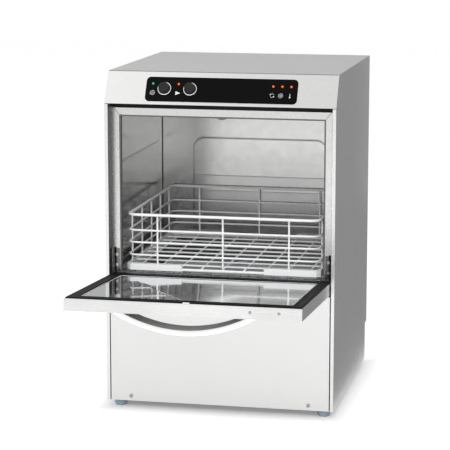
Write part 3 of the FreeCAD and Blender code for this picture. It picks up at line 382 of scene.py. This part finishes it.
fascia_sheet = surface_finish("fascia_sheet", (0.92, 0.915, 0.905), (0.89, 0.885, 0.875),
                              (0.25, 0.30), 1.0, grain=(7, 600, 900), lift=0.015)
strip_gloss = surface_finish("strip_gloss", (0.004, 0.004, 0.004), (0.003, 0.003, 0.003),
                             (0.10, 0.16), lift=0.01)
shader_of(strip_gloss).inputs["Specular IOR Level"].default_value = 0.06
symbol_print = surface_finish("symbol_print", (0.78, 0.78, 0.78), (0.66, 0.66, 0.66), (0.45, 0.6))
eased("control_fascia", fascia_sheet, 0.0009)
eased("control_strip", strip_gloss, 0.0003)

power_x, arrows_x, wheel_x, bulb_x = -138, 104.9, 122, 140.6
symbol_up = 25.6
closed_lines = [printed_line(ring_points(power_x, 26.4, 4.7), 0.6, True),
                printed_line(ring_points(wheel_x, symbol_up, 4.5), 0.55, True),
                printed_line(ring_points(wheel_x, symbol_up, 1.2), 0.5, True),
                printed_line(ring_points(bulb_x, 22.4, 0.8), 1.3, True)]
open_lines = [printed_line(arc_points(power_x, 26.1, 2.2, 125, 415), 0.55),
              printed_line([(power_x, 26.5), (power_x, 27.7), (power_x, 28.9)], 0.55),
              printed_line(arc_points(arrows_x, symbol_up, 3.9, 30, 140), 0.55),
              printed_line(arc_points(arrows_x, symbol_up, 3.9, 210, 320), 0.55),
              printed_line([(bulb_x, 23.4), (bulb_x, 26.4), (bulb_x, 30)], 0.9),
              filled([(-90.8, 30.6), (-90.8, 22.2), (-81.2, 26.4)]),
              filled([(100.6, 29.2), (103.2, 27.9), (100.7, 25.8)]),
              filled([(109.2, 22.0), (106.6, 23.3), (109.1, 25.4)])]
for bearing in np.radians(np.arange(0, 360, 60)):
    spoke = [(wheel_x + reach * math.cos(bearing), symbol_up + reach * math.sin(bearing))
             for reach in (1.4, 2.5, 3.6)]
    open_lines.append(printed_line(spoke, 0.45))
rings = woven_mesh("ring_symbols", closed_lines, close_rows=True)
strokes = woven_mesh("stroke_symbols", open_lines)
place_piece("ring_symbols", rings, symbol_print, "cabinet")
place_piece("stroke_symbols", strokes, symbol_print, "cabinet")

# ---------------------------------------------------------------- push buttons and lamps
# Two piano-black caps with dished faces slide in bright plated rings that are clamped through the
# strip. Green and amber lenses of clear acrylic sit over the lamps on the board behind.
def turned(profile, x, up, turns=64):
    """A profile of radius and height in mm carried once round an axis square to the fascia."""
    radius, height = np.asarray(profile, float).T
    bearing = np.linspace(0, 2 * math.pi, turns, endpoint=False)[:, None]
    return on_fascia(x + radius * np.cos(bearing), up + radius * np.sin(bearing),
                     height + 0 * bearing)


button_up = 35
button_places = {"power_button": -114.0, "start_button": -61.5}
bright_plate = surface_finish("bright_plate", (0.93, 0.93, 0.93), (0.88, 0.88, 0.88), (0.14, 0.2),
                              1.0)
cap_black = surface_finish("cap_black", (0.016, 0.016, 0.016), (0.012, 0.012, 0.012), (0.3, 0.4),
                           lift=0.02)
shader_of(cap_black).inputs["Specular IOR Level"].default_value = 0.25
ring_profile = [(14, strip_face), (14, 2.6), (13.7, 3.3), (13.1, 3.75), (12.4, 3.8), (11.7, 3.5),
                (11.3, 2.9), (11.2, 2.0), (11.2, -6.0), (11.8, -6.0), (11.8, strip_face)]
rings = woven_mesh("plated_rings",
                   [turned(ring_profile, x, button_up) for x in button_places.values()],
                   close_rows=True)
place_piece("plated_rings", rings, bright_plate, "cabinet", ["button_bezels"])
cap_profile = [(0, 10.9), (3, 10.95), (6, 11.1), (8.2, 11.5), (9.2, 11.75), (9.9, 11.8),
               (10.4, 11.5), (10.7, 10.9), (10.8, 10.1), (10.8, 0), (10.8, -7), (0, -7)]
for button, x in button_places.items():
    cap = woven_mesh(button + "_cap", [turned(cap_profile, x, button_up)], close_rows=True,
                     close_round=False)
    place_piece(button + "_cap", cap, cap_black, button, [button])


def lens_finish(name, core, rim, glow_level):
    """Lit acrylic, brightest in the middle of each lens, by the attribute written on its mesh."""
    material, tree, out = bare_material(name)
    from_middle = tree.nodes.new("ShaderNodeAttribute")
    from_middle.attribute_name = "from_middle"
    speck = node_step(tree, "TexNoise", Vector=object_place(tree), Scale=900.0)
    blur = node_step(tree, "MapRange", Value=speck.outputs[0], To_Min=0.08, To_Max=0.2)
    tint = node_step(tree, "MixRGB", Fac=from_middle.outputs["Fac"], Color1=(*core, 1),
                     Color2=(*rim, 1))
    shader = node_step(tree, "BsdfPrincipled", Base_Color=tint.outputs[0],
                       Roughness=blur.outputs[0], Emission_Color=tint.outputs[0],
                       Emission_Strength=glow_level)
    tree.links.new(shader.outputs[0], out.inputs["Surface"])
    return material


lens_profile = [(0, 3.4), (0.7, 3.3), (1.3, 3.0), (1.8, 2.5), (2.15, 1.8), (2.3, 1.0),
                (2.3, strip_face), (2.1, -6), (0, -6)]
green_lens = lens_finish("green_lens", (0.10, 0.95, 0.75), (0.01, 0.36, 0.25), 0.7)
amber_lens = lens_finish("amber_lens", (1.0, 0.52, 0.0), (0.78, 0.09, 0.0), 0.9)
for name, finish, places, slot, node in (
        ("power_lens", green_lens, [(-138.5, 46)], "lamp_green", "power_lamp"),
        ("status_lenses", amber_lens, [(-86, 46), (106, 45), (124.2, 45), (142.4, 45)],
         "lamp_amber", "status_lamps")):
    grids = [turned(lens_profile, x, up, 40) for x, up in places]
    mesh = woven_mesh(name, grids, close_rows=True, close_round=False)
    points = np.empty(3 * len(mesh.vertices))
    mesh.vertices.foreach_get("co", points)
    middles = np.array([on_fascia(x, up, 1) for x, up in places])
    reach = np.linalg.norm(points.reshape(-1, 1, 3) - middles, axis=2).min(axis=1)
    mesh.attributes.new("from_middle", "FLOAT", "POINT").data.foreach_set(
        "value", np.clip((reach - 0.0007) / 0.0013, 0, 1))
    place_piece(name, mesh, finish, "cabinet", [node])
board_green = surface_finish("board_green", (0.03, 0.16, 0.07), (0.02, 0.11, 0.05), (0.35, 0.5))
dressed("control_board", board_green)

# ---------------------------------------------------------------- front frame
# The loading opening is framed in folded stainless, mitred and welded at its upper corners. A
# grey seal lines its inner rim, and the door catch sits at the top in the middle.
frame_sheet = surface_finish("frame_sheet", (0.62, 0.62, 0.615), (0.57, 0.57, 0.565), (0.24, 0.30),
                             1.0, grain=(60, 60, 60), lift=0.002)
rubber = surface_finish("door_rubber", (0.010, 0.010, 0.010), (0.007, 0.007, 0.007), (0.45, 0.62),
                        grain=(900, 900, 900), lift=0.05)
seal_rubber = surface_finish("seal_rubber", (0.13, 0.13, 0.127), (0.10, 0.10, 0.098), (0.4, 0.5),
                             grain=(900, 900, 900), lift=0.03)
bracket_steel = surface_finish("bracket_steel", (0.20, 0.20, 0.195), (0.12, 0.12, 0.118),
                               (0.2, 0.32), 1.0, cloud=60.0)
black_plastic = surface_finish("black_plastic", (0.012, 0.012, 0.012), (0.008, 0.008, 0.008),
                               (0.4, 0.55), grain=(1200, 1200, 1200), lift=0.15)
for black in (rubber, black_plastic):
    shader_of(black).inputs["Specular IOR Level"].default_value = 0.12
small_steel = surface_finish("small_steel", (0.72, 0.72, 0.71), (0.60, 0.60, 0.60), (0.25, 0.4),
                             1.0)
eased("front_frame", frame_sheet, 0.0005)
eased("opening_seal", seal_rubber, 0.0010, 3)
eased("door_catch", seal_rubber, 0.0008)
eased("hinge_housings", black_plastic, 0.0008)
eased("hinge_brackets", bracket_steel, 0.0004)
eased("hinge_pins", small_steel, 0.0003)
eased("door_bushes", black_plastic, 0.0004)

frame_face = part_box("front_frame")[0].y
joint_shadow = surface_finish("joint_shadow", (0.16, 0.16, 0.16), (0.10, 0.10, 0.10), (0.4, 0.5),
                              0.6)


def welded_joints():
    """Two mitre welds, each a ribbon from an inner to an outer corner of the frame, 0.9 mm wide
    and crowned 0.15 mm over the sheet by half a sine wave."""
    along = np.linspace(0, 1, 9)[:, None]
    across = np.linspace(-1, 1, 7)
    grids = []
    for side in (-1, 1):
        start = np.array([side * 0.2112, frame_face, foot_tall + 0.5881])
        stop = np.array([side * 0.2230, frame_face, foot_tall + 0.6036])
        run = (stop - start) / np.linalg.norm(stop - start)
        beside = np.array([-run[2], 0, run[0]])
        crown = 0.00015 * np.cos(across * math.pi / 2)
        top = (start + along[..., None] * (stop - start) + across[None, :, None] * 0.00045 * beside
               + (crown[:, None] * np.array([0, -1.0, 0]))[None])
        under = top[:, ::-1] * np.array([1, 0, 1]) + np.array([0, frame_face + 0.0001, 0])
        grids.append(np.concatenate([top, under], 1))
    return grids


place_piece("frame_welds", woven_mesh("frame_welds", welded_joints()), joint_shadow, "cabinet")


def row_point(x, depth, up):
    """A point from mm across, mm back from the panel's front and mm above the feet."""
    x, depth, up = np.broadcast_arrays(x, depth, up)
    return 0.001 * np.stack([x, depth - panel_front, up], -1) + np.array([0, 0, foot_tall])


def thin_bar(low, high):
    """A bar of 8 rows between two corners in mm (depth from the panel's front, height from the
    feet), its section a rectangle."""
    (x0, y0, z0), (x1, y1, z1) = low, high
    tall = (z1 - z0) >= (x1 - x0)
    run = np.linspace(0, 1, 8)[:, None]
    y = np.array([y0, y1, y1, y0]) + 0 * run
    near, far = ((x0, x1), (z0, z1)) if tall else ((z0, z1), (x0, x1))
    side = np.array([near[0], near[0], near[1], near[1]]) + 0 * run
    length = far[0] + run * (far[1] - far[0]) + 0 * side
    x, z = (side, length) if tall else (length, side)
    return row_point(x, y, z)


# Dark bars on the inner walls of the door niche are painted shade, there for the frame's steel to
# mirror.
painted_niche_shade = surface_finish("painted_niche_shade", (0.075, 0.075, 0.073), (0.045, 0.045, 0.044), (0.35, 0.5))
niche_shade_bars = [thin_bar((middle - 0.2, 1.5, 314.5), (middle + 0.2, 25.7, 611))
           for middle in (-227.8, 227.8)]
place_piece("niche_painted_shade", woven_mesh("niche_painted_shade", niche_shade_bars), painted_niche_shade, "cabinet")
# Black bars cover the two hinge slots, and a black bar across the frame under the fascia is painted
# shade.
slots = [thin_bar((middle - 2.4, 25.88, 247), (middle + 2.4, 25.99, 316))
         for middle in (-221.4, 221.4)]
slots.append(thin_bar((-225, 25.88, 602.2), (225, 25.99, 611.0)))
place_piece("slot_covers_and_painted_shade", woven_mesh("slot_covers_and_painted_shade", slots), rubber, "cabinet")
top_front = 1000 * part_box("top_cover")[0].y + panel_front
top_seam = thin_bar((-234, top_front - 0.5, 675.6), (234, top_front + 0.5, 676.05))
place_piece("top_seam", woven_mesh("top_seam", [top_seam]), joint_shadow, "cabinet")


def cross_head(centre, facing, right, radius, tall, crown=0.55):
    """A screw head in metres. Over a disc the height is tall less crown of it times the square of
    the radius, less a cross recess that fades out at its edges; then the rim drops to the seat."""
    facing, right = np.array(facing, float), np.array(right, float)
    up = np.cross(facing, right)
    bearing = np.linspace(0, 2 * math.pi, 72, endpoint=False)[:, None]
    share = np.concatenate([np.linspace(0, 0.97, 20), [1.0, 1.0, 0.0]])[None, :]
    u, v = share * np.cos(bearing), share * np.sin(bearing)
    slot = (np.clip((0.17 - np.minimum(abs(u), abs(v))) / 0.06, 0, 1)
            * np.clip((0.64 - share) / 0.1, 0, 1))
    height = tall * (1 - crown * share ** 2) - 0.55 * tall * slot
    height[:, -2:] = 0
    return (np.array(centre) + radius * (u[..., None] * right + v[..., None] * up)
            + height[..., None] * facing)


screw_steel = surface_finish("screw_steel", (0.50, 0.50, 0.50), (0.38, 0.38, 0.38), (0.2, 0.3), 1.0)
panel_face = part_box("lower_front_panel")[0].y


def place_heads(name, heads, body, nodes=()):
    """One piece from the grids of several screw heads."""
    mesh = woven_mesh(name, heads, close_rows=True, close_round=False)
    place_piece(name, mesh, screw_steel, body, nodes)


heads = [cross_head((side * 0.184, panel_face, foot_tall + 0.011), (0, -1, 0), (0.9, 0, 0.436),
                    0.0042, 0.0019) for side in (-1, 1)]
heads += [cross_head((side * 0.218, frame_face, foot_tall + 0.266 + 0.048 * share), (0, -1, 0),
                     (0.8, 0, 0.6), 0.0031, 0.0002, 0.1)
          for side in (-1, 1) for share in (0.28, 0.72)]
place_heads("panel_screw_heads", heads, "cabinet", ["front_screws"])

# ---------------------------------------------------------------- wash chamber
# The chamber is deep-drawn and welded from bright stainless. Ribs and panels are pressed into its
# walls to stiffen them, and the tank below has a rounded sump under a perforated filter.
chamber_sheet = surface_finish("chamber_sheet", (0.60, 0.60, 0.59), (0.55, 0.55, 0.54),
                               (0.19, 0.25), 1.0, grain=(50, 50, 50), lift=0.004, cloud=5.0)
# The side walls and roof take a darker copy of the chamber's stainless, which paints the shade that
# falls on them.
shaded_wall_sheet = surface_finish("shaded_wall_sheet", (0.37, 0.37, 0.36), (0.32, 0.32, 0.315), (0.13, 0.18),
                            1.0, grain=(50, 50, 50), lift=0.004, cloud=5.0)


def slab(front, thick):
    """The two grids of a closed sheet: the front grid and the same grid pushed back by thick."""
    return front, front + np.array(thick)


def slab_mesh(name, pairs):
    """One mesh of closed sheets, each from its two grids joined round their edges."""
    points, faces, base = [], [], 0
    for front, back in pairs:
        rows, columns = front.shape[:2]
        index = np.arange(rows * columns).reshape(rows, columns)
        quads = np.stack([index[:-1, :-1], index[1:, :-1], index[1:, 1:], index[:-1, 1:]], -1)
        quads = quads.reshape(-1, 4)
        rim = np.concatenate([index[0, :-1], index[:-1, -1], index[-1, :0:-1], index[:0:-1, 0]])
        wall = np.stack([rim, np.roll(rim, -1), np.roll(rim, -1) + index.size, rim + index.size], 1)
        faces += (np.concatenate([quads, quads[:, ::-1] + index.size, wall]) + base).tolist()
        points += [front.reshape(-1, 3), back.reshape(-1, 3)]
        base += 2 * index.size
    mesh = bpy.data.meshes.new(name)
    mesh.from_pydata(np.vstack(points).tolist(), [], faces)
    shell = bmesh.new()
    shell.from_mesh(mesh)
    bmesh.ops.recalc_face_normals(shell, faces=shell.faces)
    shell.to_mesh(mesh)
    shell.free()
    mesh.shade_smooth()
    mesh.set_sharp_from_angle(angle=math.radians(35))
    return mesh


def spaced(start, stop, coarse, *bands):
    """Places from start to stop in mm: coarse steps, with 0.8 mm steps in each (place, reach)."""
    places = [np.arange(start, stop, coarse), [stop]]
    places += [np.arange(max(start, at - reach), min(stop, at + reach), 0.8) for at, reach in bands]
    return np.unique(np.round(np.concatenate(places), 2))


def outline_distance(across, up, half, middle, reach, corner):
    """Distance outside a rounded rectangle, less than nothing inside it, in mm."""
    side = np.abs(across - middle[0]) - (half - corner)
    rise = np.abs(up - middle[1]) - (reach - corner)
    return (np.hypot(np.maximum(side, 0), np.maximum(rise, 0))
            + np.minimum(np.maximum(side, rise), 0) - corner)


def soft_step(value, width):
    """1 well below nothing and 0 well above it, through a cosine as wide as width."""
    share = np.clip(value / width + 0.5, 0, 1)
    return 0.5 + 0.5 * np.cos(math.pi * share)


wall_half, wall_low, wall_high, back_depth = 222, 263.5, 603, 435
across, up = np.meshgrid(
    spaced(-wall_half, wall_half, 12, (-150, 5), (150, 5), (-137, 12), (137, 12)),
    spaced(wall_low, wall_high, 12, (491, 5), (300, 5), (478, 12), (408, 3), (374, 3)),
    indexing="ij")
field = outline_distance(across, up, 150, (0, 395.5), 95.5, 24)
beads = 0.22 * np.exp(-((up - 408) / 1.3) ** 2) + 0.18 * np.exp(-((up - 374) / 1.3) ** 2)
inside = soft_step(field + 3, 3)
pressed = 0.9 * soft_step(field, 6.0) + beads * inside
sheet = 0.0012
back = slab(row_point(across, back_depth - pressed, up), (0, sheet, 0))
place_piece("pressed_back", slab_mesh("pressed_back", [back]), chamber_sheet, "cabinet",
            ["chamber_back"])

depth, up = np.meshgrid(spaced(28.4, back_depth + 1, 12, (86, 5), (398, 5)),
                        spaced(wall_low, wall_high, 12, (485, 7)), indexing="ij")
run = soft_step(np.abs(depth - 242) - 156, 6)
pressed = 1.0 * np.exp(-((up - 485) / 1.5) ** 2) * run
walls = [slab(row_point(side * (wall_half - pressed), depth, up), (side * sheet, 0, 0))
         for side in (-1, 1)]
across, depth = np.meshgrid(np.linspace(-wall_half, wall_half, 23),
                            np.linspace(28.4, back_depth + 1, 21), indexing="ij")
walls.append(slab(row_point(across, depth, wall_high + 0 * depth), (0, 0, sheet)))
place_piece("pressed_walls", slab_mesh("pressed_walls", walls), shaded_wall_sheet, "cabinet",
            ["chamber_wrap"])
seams = [thin_bar((middle - 0.7, back_depth - 1.4, wall_low), (middle + 0.7, back_depth, wall_high))
         for middle in (-221.3, 221.3)]
place_piece("corner_seams", woven_mesh("corner_seams", seams), joint_shadow, "cabinet")
for node in ("tank", "basket_rails", "tank_filter", "sump_filter"):
    eased(node, chamber_sheet, 0.0004)

# ---------------------------------------------------------------- wash and rinse arms
# The four arms are moulded in grey polypropylene and turn freely on steel spindles, above and
# below the basket. The overflow standpipe is the same plastic, and is pushed into the sump.
arm_plastic = surface_finish("arm_plastic", (0.50, 0.52, 0.54), (0.42, 0.44, 0.46), (0.4, 0.55))
for node in ("lower_wash_arm", "lower_rinse_arm", "upper_wash_arm", "upper_rinse_arm"):
    eased(node, arm_plastic, 0.0010)
eased("overflow_standpipe", arm_plastic, 0.0005)
eased("arm_spindles", small_steel, 0.0004)

# ---------------------------------------------------------------- basket
# The basket is steel wire, spot welded at every crossing and dipped in white polyamide. It
# slides on the chamber's two rails.
basket_white = surface_finish("basket_white", (0.95, 0.955, 0.96), (0.92, 0.925, 0.93), (0.3, 0.42),
                              grain=(400, 400, 400), lift=0.05)
for node in ("basket_base", "basket_long_walls", "basket_side_walls"):
    eased(node, basket_white, 0)

# ---------------------------------------------------------------- door
# The door is a folded stainless shell with a polished inner plate. It hangs on two pins and
# carries a push-in rubber gasket, two tip screws and a bow handle.
polished = surface_finish("polished_inner", (0.80, 0.81, 0.83), (0.77, 0.78, 0.80), (0.04, 0.07),
                          1.0, lift=0.01)
door_sheet = surface_finish("door_sheet", (0.96, 0.96, 0.955), (0.39, 0.39, 0.385), (0.22, 0.34),
                            1.0, grain=(9, 500, 900), cloud=5.0)
handle_satin = surface_finish("handle_satin", (0.92, 0.92, 0.92), (0.88, 0.88, 0.88), (0.2, 0.28),
                              1.0)
# The grey of the bow's inner face is painted shade.
handle_painted_shade = surface_finish("handle_painted_shade", (0.20, 0.20, 0.195), (0.16, 0.16, 0.155), (0.4, 0.5))
eased("door_skin", door_sheet, 0.0010)
eased("door_inner_plate", polished, 0.0005)

swing = math.radians(86.4)
hinge_depth, hinge_up = 20.6, 259.4


def on_door(across, out, up):
    """Points in metres from mm across, mm in from the hinge line and mm up the shut door, with the
    door let down about its hinge line."""
    across, out, up = np.broadcast_arrays(*[np.asarray(part, float) for part in (across, out, up)])
    depth = hinge_depth + out * math.cos(swing) - up * math.sin(swing)
    return row_point(across, depth, hinge_up + out * math.sin(swing) + up * math.cos(swing))


def mitred_ring(half, low, high, profile, face):
    """A profile of width and height in mm carried round a rectangle, mitred at its corners: each
    corner's section is the profile's width laid out along the corner's diagonal."""
    width, height = np.asarray(profile, float).T
    side = np.array([-1, 1, 1, -1])[:, None]
    rise = np.array([-1, -1, 1, 1])[:, None]
    middle, reach = (low + high) / 2, (high - low) / 2
    return on_door(side * (half + width), face + height + 0 * side, middle + rise * (reach + width))


def bevelled_ring(half, low, high, corner, profile, face, steps=10):
    """The same round a rectangle whose corners are arcs of radius corner."""
    width, height = np.asarray(profile, float).T
    quarters = [np.linspace(first, first + 90, steps) for first in (-90, 0, 90, 180)]
    bearing = np.radians(np.concatenate(quarters))[:, None]
    middle, reach = (low + high) / 2, (high - low) / 2
    turn_x = np.repeat([1, 1, -1, -1], steps)[:, None] * (half - corner)
    turn_up = np.repeat([-1, 1, 1, -1], steps)[:, None] * (reach - corner) + middle
    return on_door(turn_x + (corner + width) * np.cos(bearing), face + height + 0 * bearing,
                   turn_up + (corner + width) * np.sin(bearing))


plate_face = 2.8
gasket_profile = [(0, 0), (0, 1.3), (0.7, 2.0), (2.0, 2.3), (3.6, 2.0), (5.2, 1.3), (7, 1.1),
                  (13, 1.1), (14.8, 1.3), (16.4, 2.0), (18, 2.3), (19.3, 2.0), (20, 1.3), (20, 0)]
lips = woven_mesh("gasket_lips", [mitred_ring(204, 27, 323.6, gasket_profile, plate_face)],
                  close_rows=True)
place_piece("gasket_lips", lips, rubber, "door", ["door_gasket"])
bead_profile = [(-2.0, 0), (-1.7, 0.45), (-1.0, 0.85), (0, 1.0), (1.0, 0.85), (1.7, 0.45), (2.0, 0)]
bead = woven_mesh("plate_bead", [bevelled_ring(201.6, 29.4, 321.2, 4, bead_profile, plate_face)],
                  close_rows=True)
place_piece("plate_bead", bead, polished, "door")

door_tip = on_door(0, 0, 1000) - on_door(0, 0, 0)
place_heads("tip_screw_heads", [cross_head(on_door(x, -8.2, 349.6), door_tip, (0.94, 0, 0.34),
                                           0.003, 0.0012) for x in (129, 183)],
            "door", ["door_screws"])

bow_out, bow_in, bow_middle = 268.85, 257.35, 206.75
bow_low, bow_high = 304.6, 331.6


def bow_strip(section):
    """A closed section of radius and height in mm bent round the bow's centre. Each of its points
    turns as far as the angle at which its own radius meets the door's face."""
    radius, height = np.asarray(section, float).T
    reach = np.arccos((bow_middle + hinge_depth) / radius)
    turn = np.linspace(-1, 1, 97)[:, None] * reach
    return on_door(radius * np.sin(turn), bow_middle - radius * np.cos(turn), height + 0 * turn)


bow_section = [(bow_in, bow_low + 1.5), (bow_in + 0.4, bow_low + 0.5), (bow_in + 1.5, bow_low),
               (bow_out - 3, bow_low), (bow_out - 1.3, bow_low + 0.6),
               (bow_out - 0.3, bow_low + 2.2), (bow_out, bow_low + 6), (bow_out, bow_high - 6),
               (bow_out - 0.3, bow_high - 2.2), (bow_out - 1.3, bow_high - 0.6),
               (bow_out - 3, bow_high), (bow_in + 1.5, bow_high), (bow_in + 0.4, bow_high - 0.5),
               (bow_in, bow_high - 1.5)]
place_piece("bow_handle", woven_mesh("bow_handle", [bow_strip(bow_section)]), handle_satin, "door",
            ["door_handle"])
# A thin grey sheet over the bow's inner, concave face paints the shade that falls there.
bow_shade_section = [(bow_in - 5.4, bow_low + 1.8), (bow_in - 4.8, bow_low + 0.9),
                  (bow_in + 1.8, bow_low + 0.9), (bow_in + 0.6, bow_high - 1.4),
                  (bow_in - 0.3, bow_high - 1.4), (bow_in - 0.8, bow_high - 2.2)]
bow_shade_mesh = woven_mesh("bow_painted_shade", [bow_strip(bow_shade_section)])
place_piece("bow_painted_shade", bow_shade_mesh, handle_painted_shade, "door")

# ---------------------------------------------------------------- feet
# Four hexagonal feet are moulded in blue-grey plastic round a threaded stem. They screw up into
# the base tray, so that the machine can be levelled.
foot_plastic = surface_finish("foot_plastic", (0.36, 0.45, 0.52), (0.29, 0.38, 0.45), (0.4, 0.55))
foot_profile = [(0, 0), (0.78, 0), (0.86, 0.4), (0.92, 1.6), (0.96, 4.0), (0.99, 7.5),
                (0.995, 12.4), (0.97, 13.4), (0.90, 14.0), (0.44, 14.0), (0.44, 48), (0.40, 49),
                (0, 49)]


def levelling_foot(middle):
    """A hexagon with clipped corners carried up a profile of shares of its radius and heights in
    mm: the radius is the flat's distance over the cosine of the angle from the flat's middle."""
    bearing = np.linspace(0, 2 * math.pi, 96, endpoint=False)[:, None]
    flat = np.minimum(12.1 / np.cos(np.mod(bearing, math.pi / 3) - math.pi / 6), 13.5)
    share, height = np.asarray(foot_profile, float).T
    return 0.001 * np.stack([middle[0] + share * flat * np.cos(bearing),
                             middle[1] + share * flat * np.sin(bearing), height + 0 * bearing], -1)


for place in ("front_left", "front_right", "rear_left", "rear_right"):
    low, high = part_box("foot_" + place)
    middle = (500 * (low.x + high.x), 500 * (low.y + high.y))
    foot = woven_mesh("levelling_foot", [levelling_foot(middle)], close_rows=True,
                      close_round=False)
    place_piece("levelling_foot_" + place, foot, foot_plastic, body_of("foot_" + place),
                ["foot_" + place])

# ---------------------------------------------------------------- works under the tank
# The pumps, boiler, softener and dosing pumps stand on the base tray and are joined by rubber
# hoses. Each keeps its usual finish: moulded plastic, painted motor, brass valve, plain steel.
pump_plastic = surface_finish("pump_plastic", (0.10, 0.10, 0.11), (0.07, 0.07, 0.08), (0.4, 0.55))
hose_rubber = surface_finish("hose_rubber", (0.05, 0.05, 0.05), (0.03, 0.03, 0.03), (0.5, 0.65))
brass = surface_finish("valve_brass", (0.72, 0.52, 0.24), (0.60, 0.42, 0.18), (0.25, 0.4), 1.0)
for finish, nodes in (
        (pump_plastic, ("pump_volute", "pump_impeller", "drain_pump", "dosing_pumps",
                        "pressure_switch")),
        (hose_rubber, ("delivery_manifold", "suction_hose", "drain_hoses")),
        (brass, ("inlet_valve",)),
        (black_plastic, ("cable_gland",)),
        (small_steel, ("rinse_boiler", "heating_elements")),
        (surface_finish("softener_plastic", (0.75, 0.76, 0.74), (0.66, 0.67, 0.66), (0.4, 0.55)),
         ("water_softener",)),
        (surface_finish("motor_paint", (0.22, 0.24, 0.27), (0.17, 0.19, 0.21), (0.35, 0.5), 0.4),
         ("wash_pump_motor",))):
    for node in nodes:
        dressed(node, finish)

# ---------------------------------------------------------------- rear fittings
# The water inlet ends in a turned brass thread, and the mains cable leaves through a gland with a
# black nut. Plated cross-head screws hold the back panel and the top's rear edge.
recess_depth = 462


def turned_back(profile, x, up, turns=64):
    """A profile of radius and distance behind the recess in mm, carried once round an axis that
    runs straight back."""
    radius, behind = np.asarray(profile, float).T
    bearing = np.linspace(0, 2 * math.pi, turns, endpoint=False)[:, None]
    return row_point(x + radius * np.cos(bearing), recess_depth + behind,
                     up + radius * np.sin(bearing))


thread = [(9.4, 15.9), (12.4, 15.9)]
for turn in range(9, 0, -1):
    thread += [(13.25, 1.6 * turn + 0.5), (12.5, 1.6 * turn - 0.3)]
thread += [(12.4, 0.6), (9.4, 0.6)]
inlet = woven_mesh("inlet_thread", [turned_back(thread, 120, 52)], close_rows=True)
place_piece("inlet_thread", inlet, brass, "cabinet")
nut_profile = [(5.6, 8.4), (7.6, 12.2), (9.2, 11.8), (9.7, 8.4), (12.3, 8.2), (12.9, 7.4),
               (12.9, 1.2), (12.3, 0.4), (5.6, 0.4)]
nut = woven_mesh("gland_nut", [turned_back(nut_profile, 180, 50, 96)], close_rows=True)
place_piece("gland_nut", nut, black_plastic, "cabinet")
rear_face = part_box("back_panel")[1].y
rear_heads = [cross_head((x, rear_face, foot_tall + up), (0, 1, 0), (0.8, 0, 0.6), 0.0036, 0.0015)
              for x in (-0.222, 0.222) for up in (0.115, 0.27, 0.43, 0.60)]
rear_heads += [cross_head((x, rear_face, foot_tall + 0.660), (0, 1, 0), (0.6, 0, 0.8), 0.0036,
                          0.0015) for x in (-0.14, 0.0, 0.14)]
place_heads("rear_screw_heads", rear_heads, "cabinet")
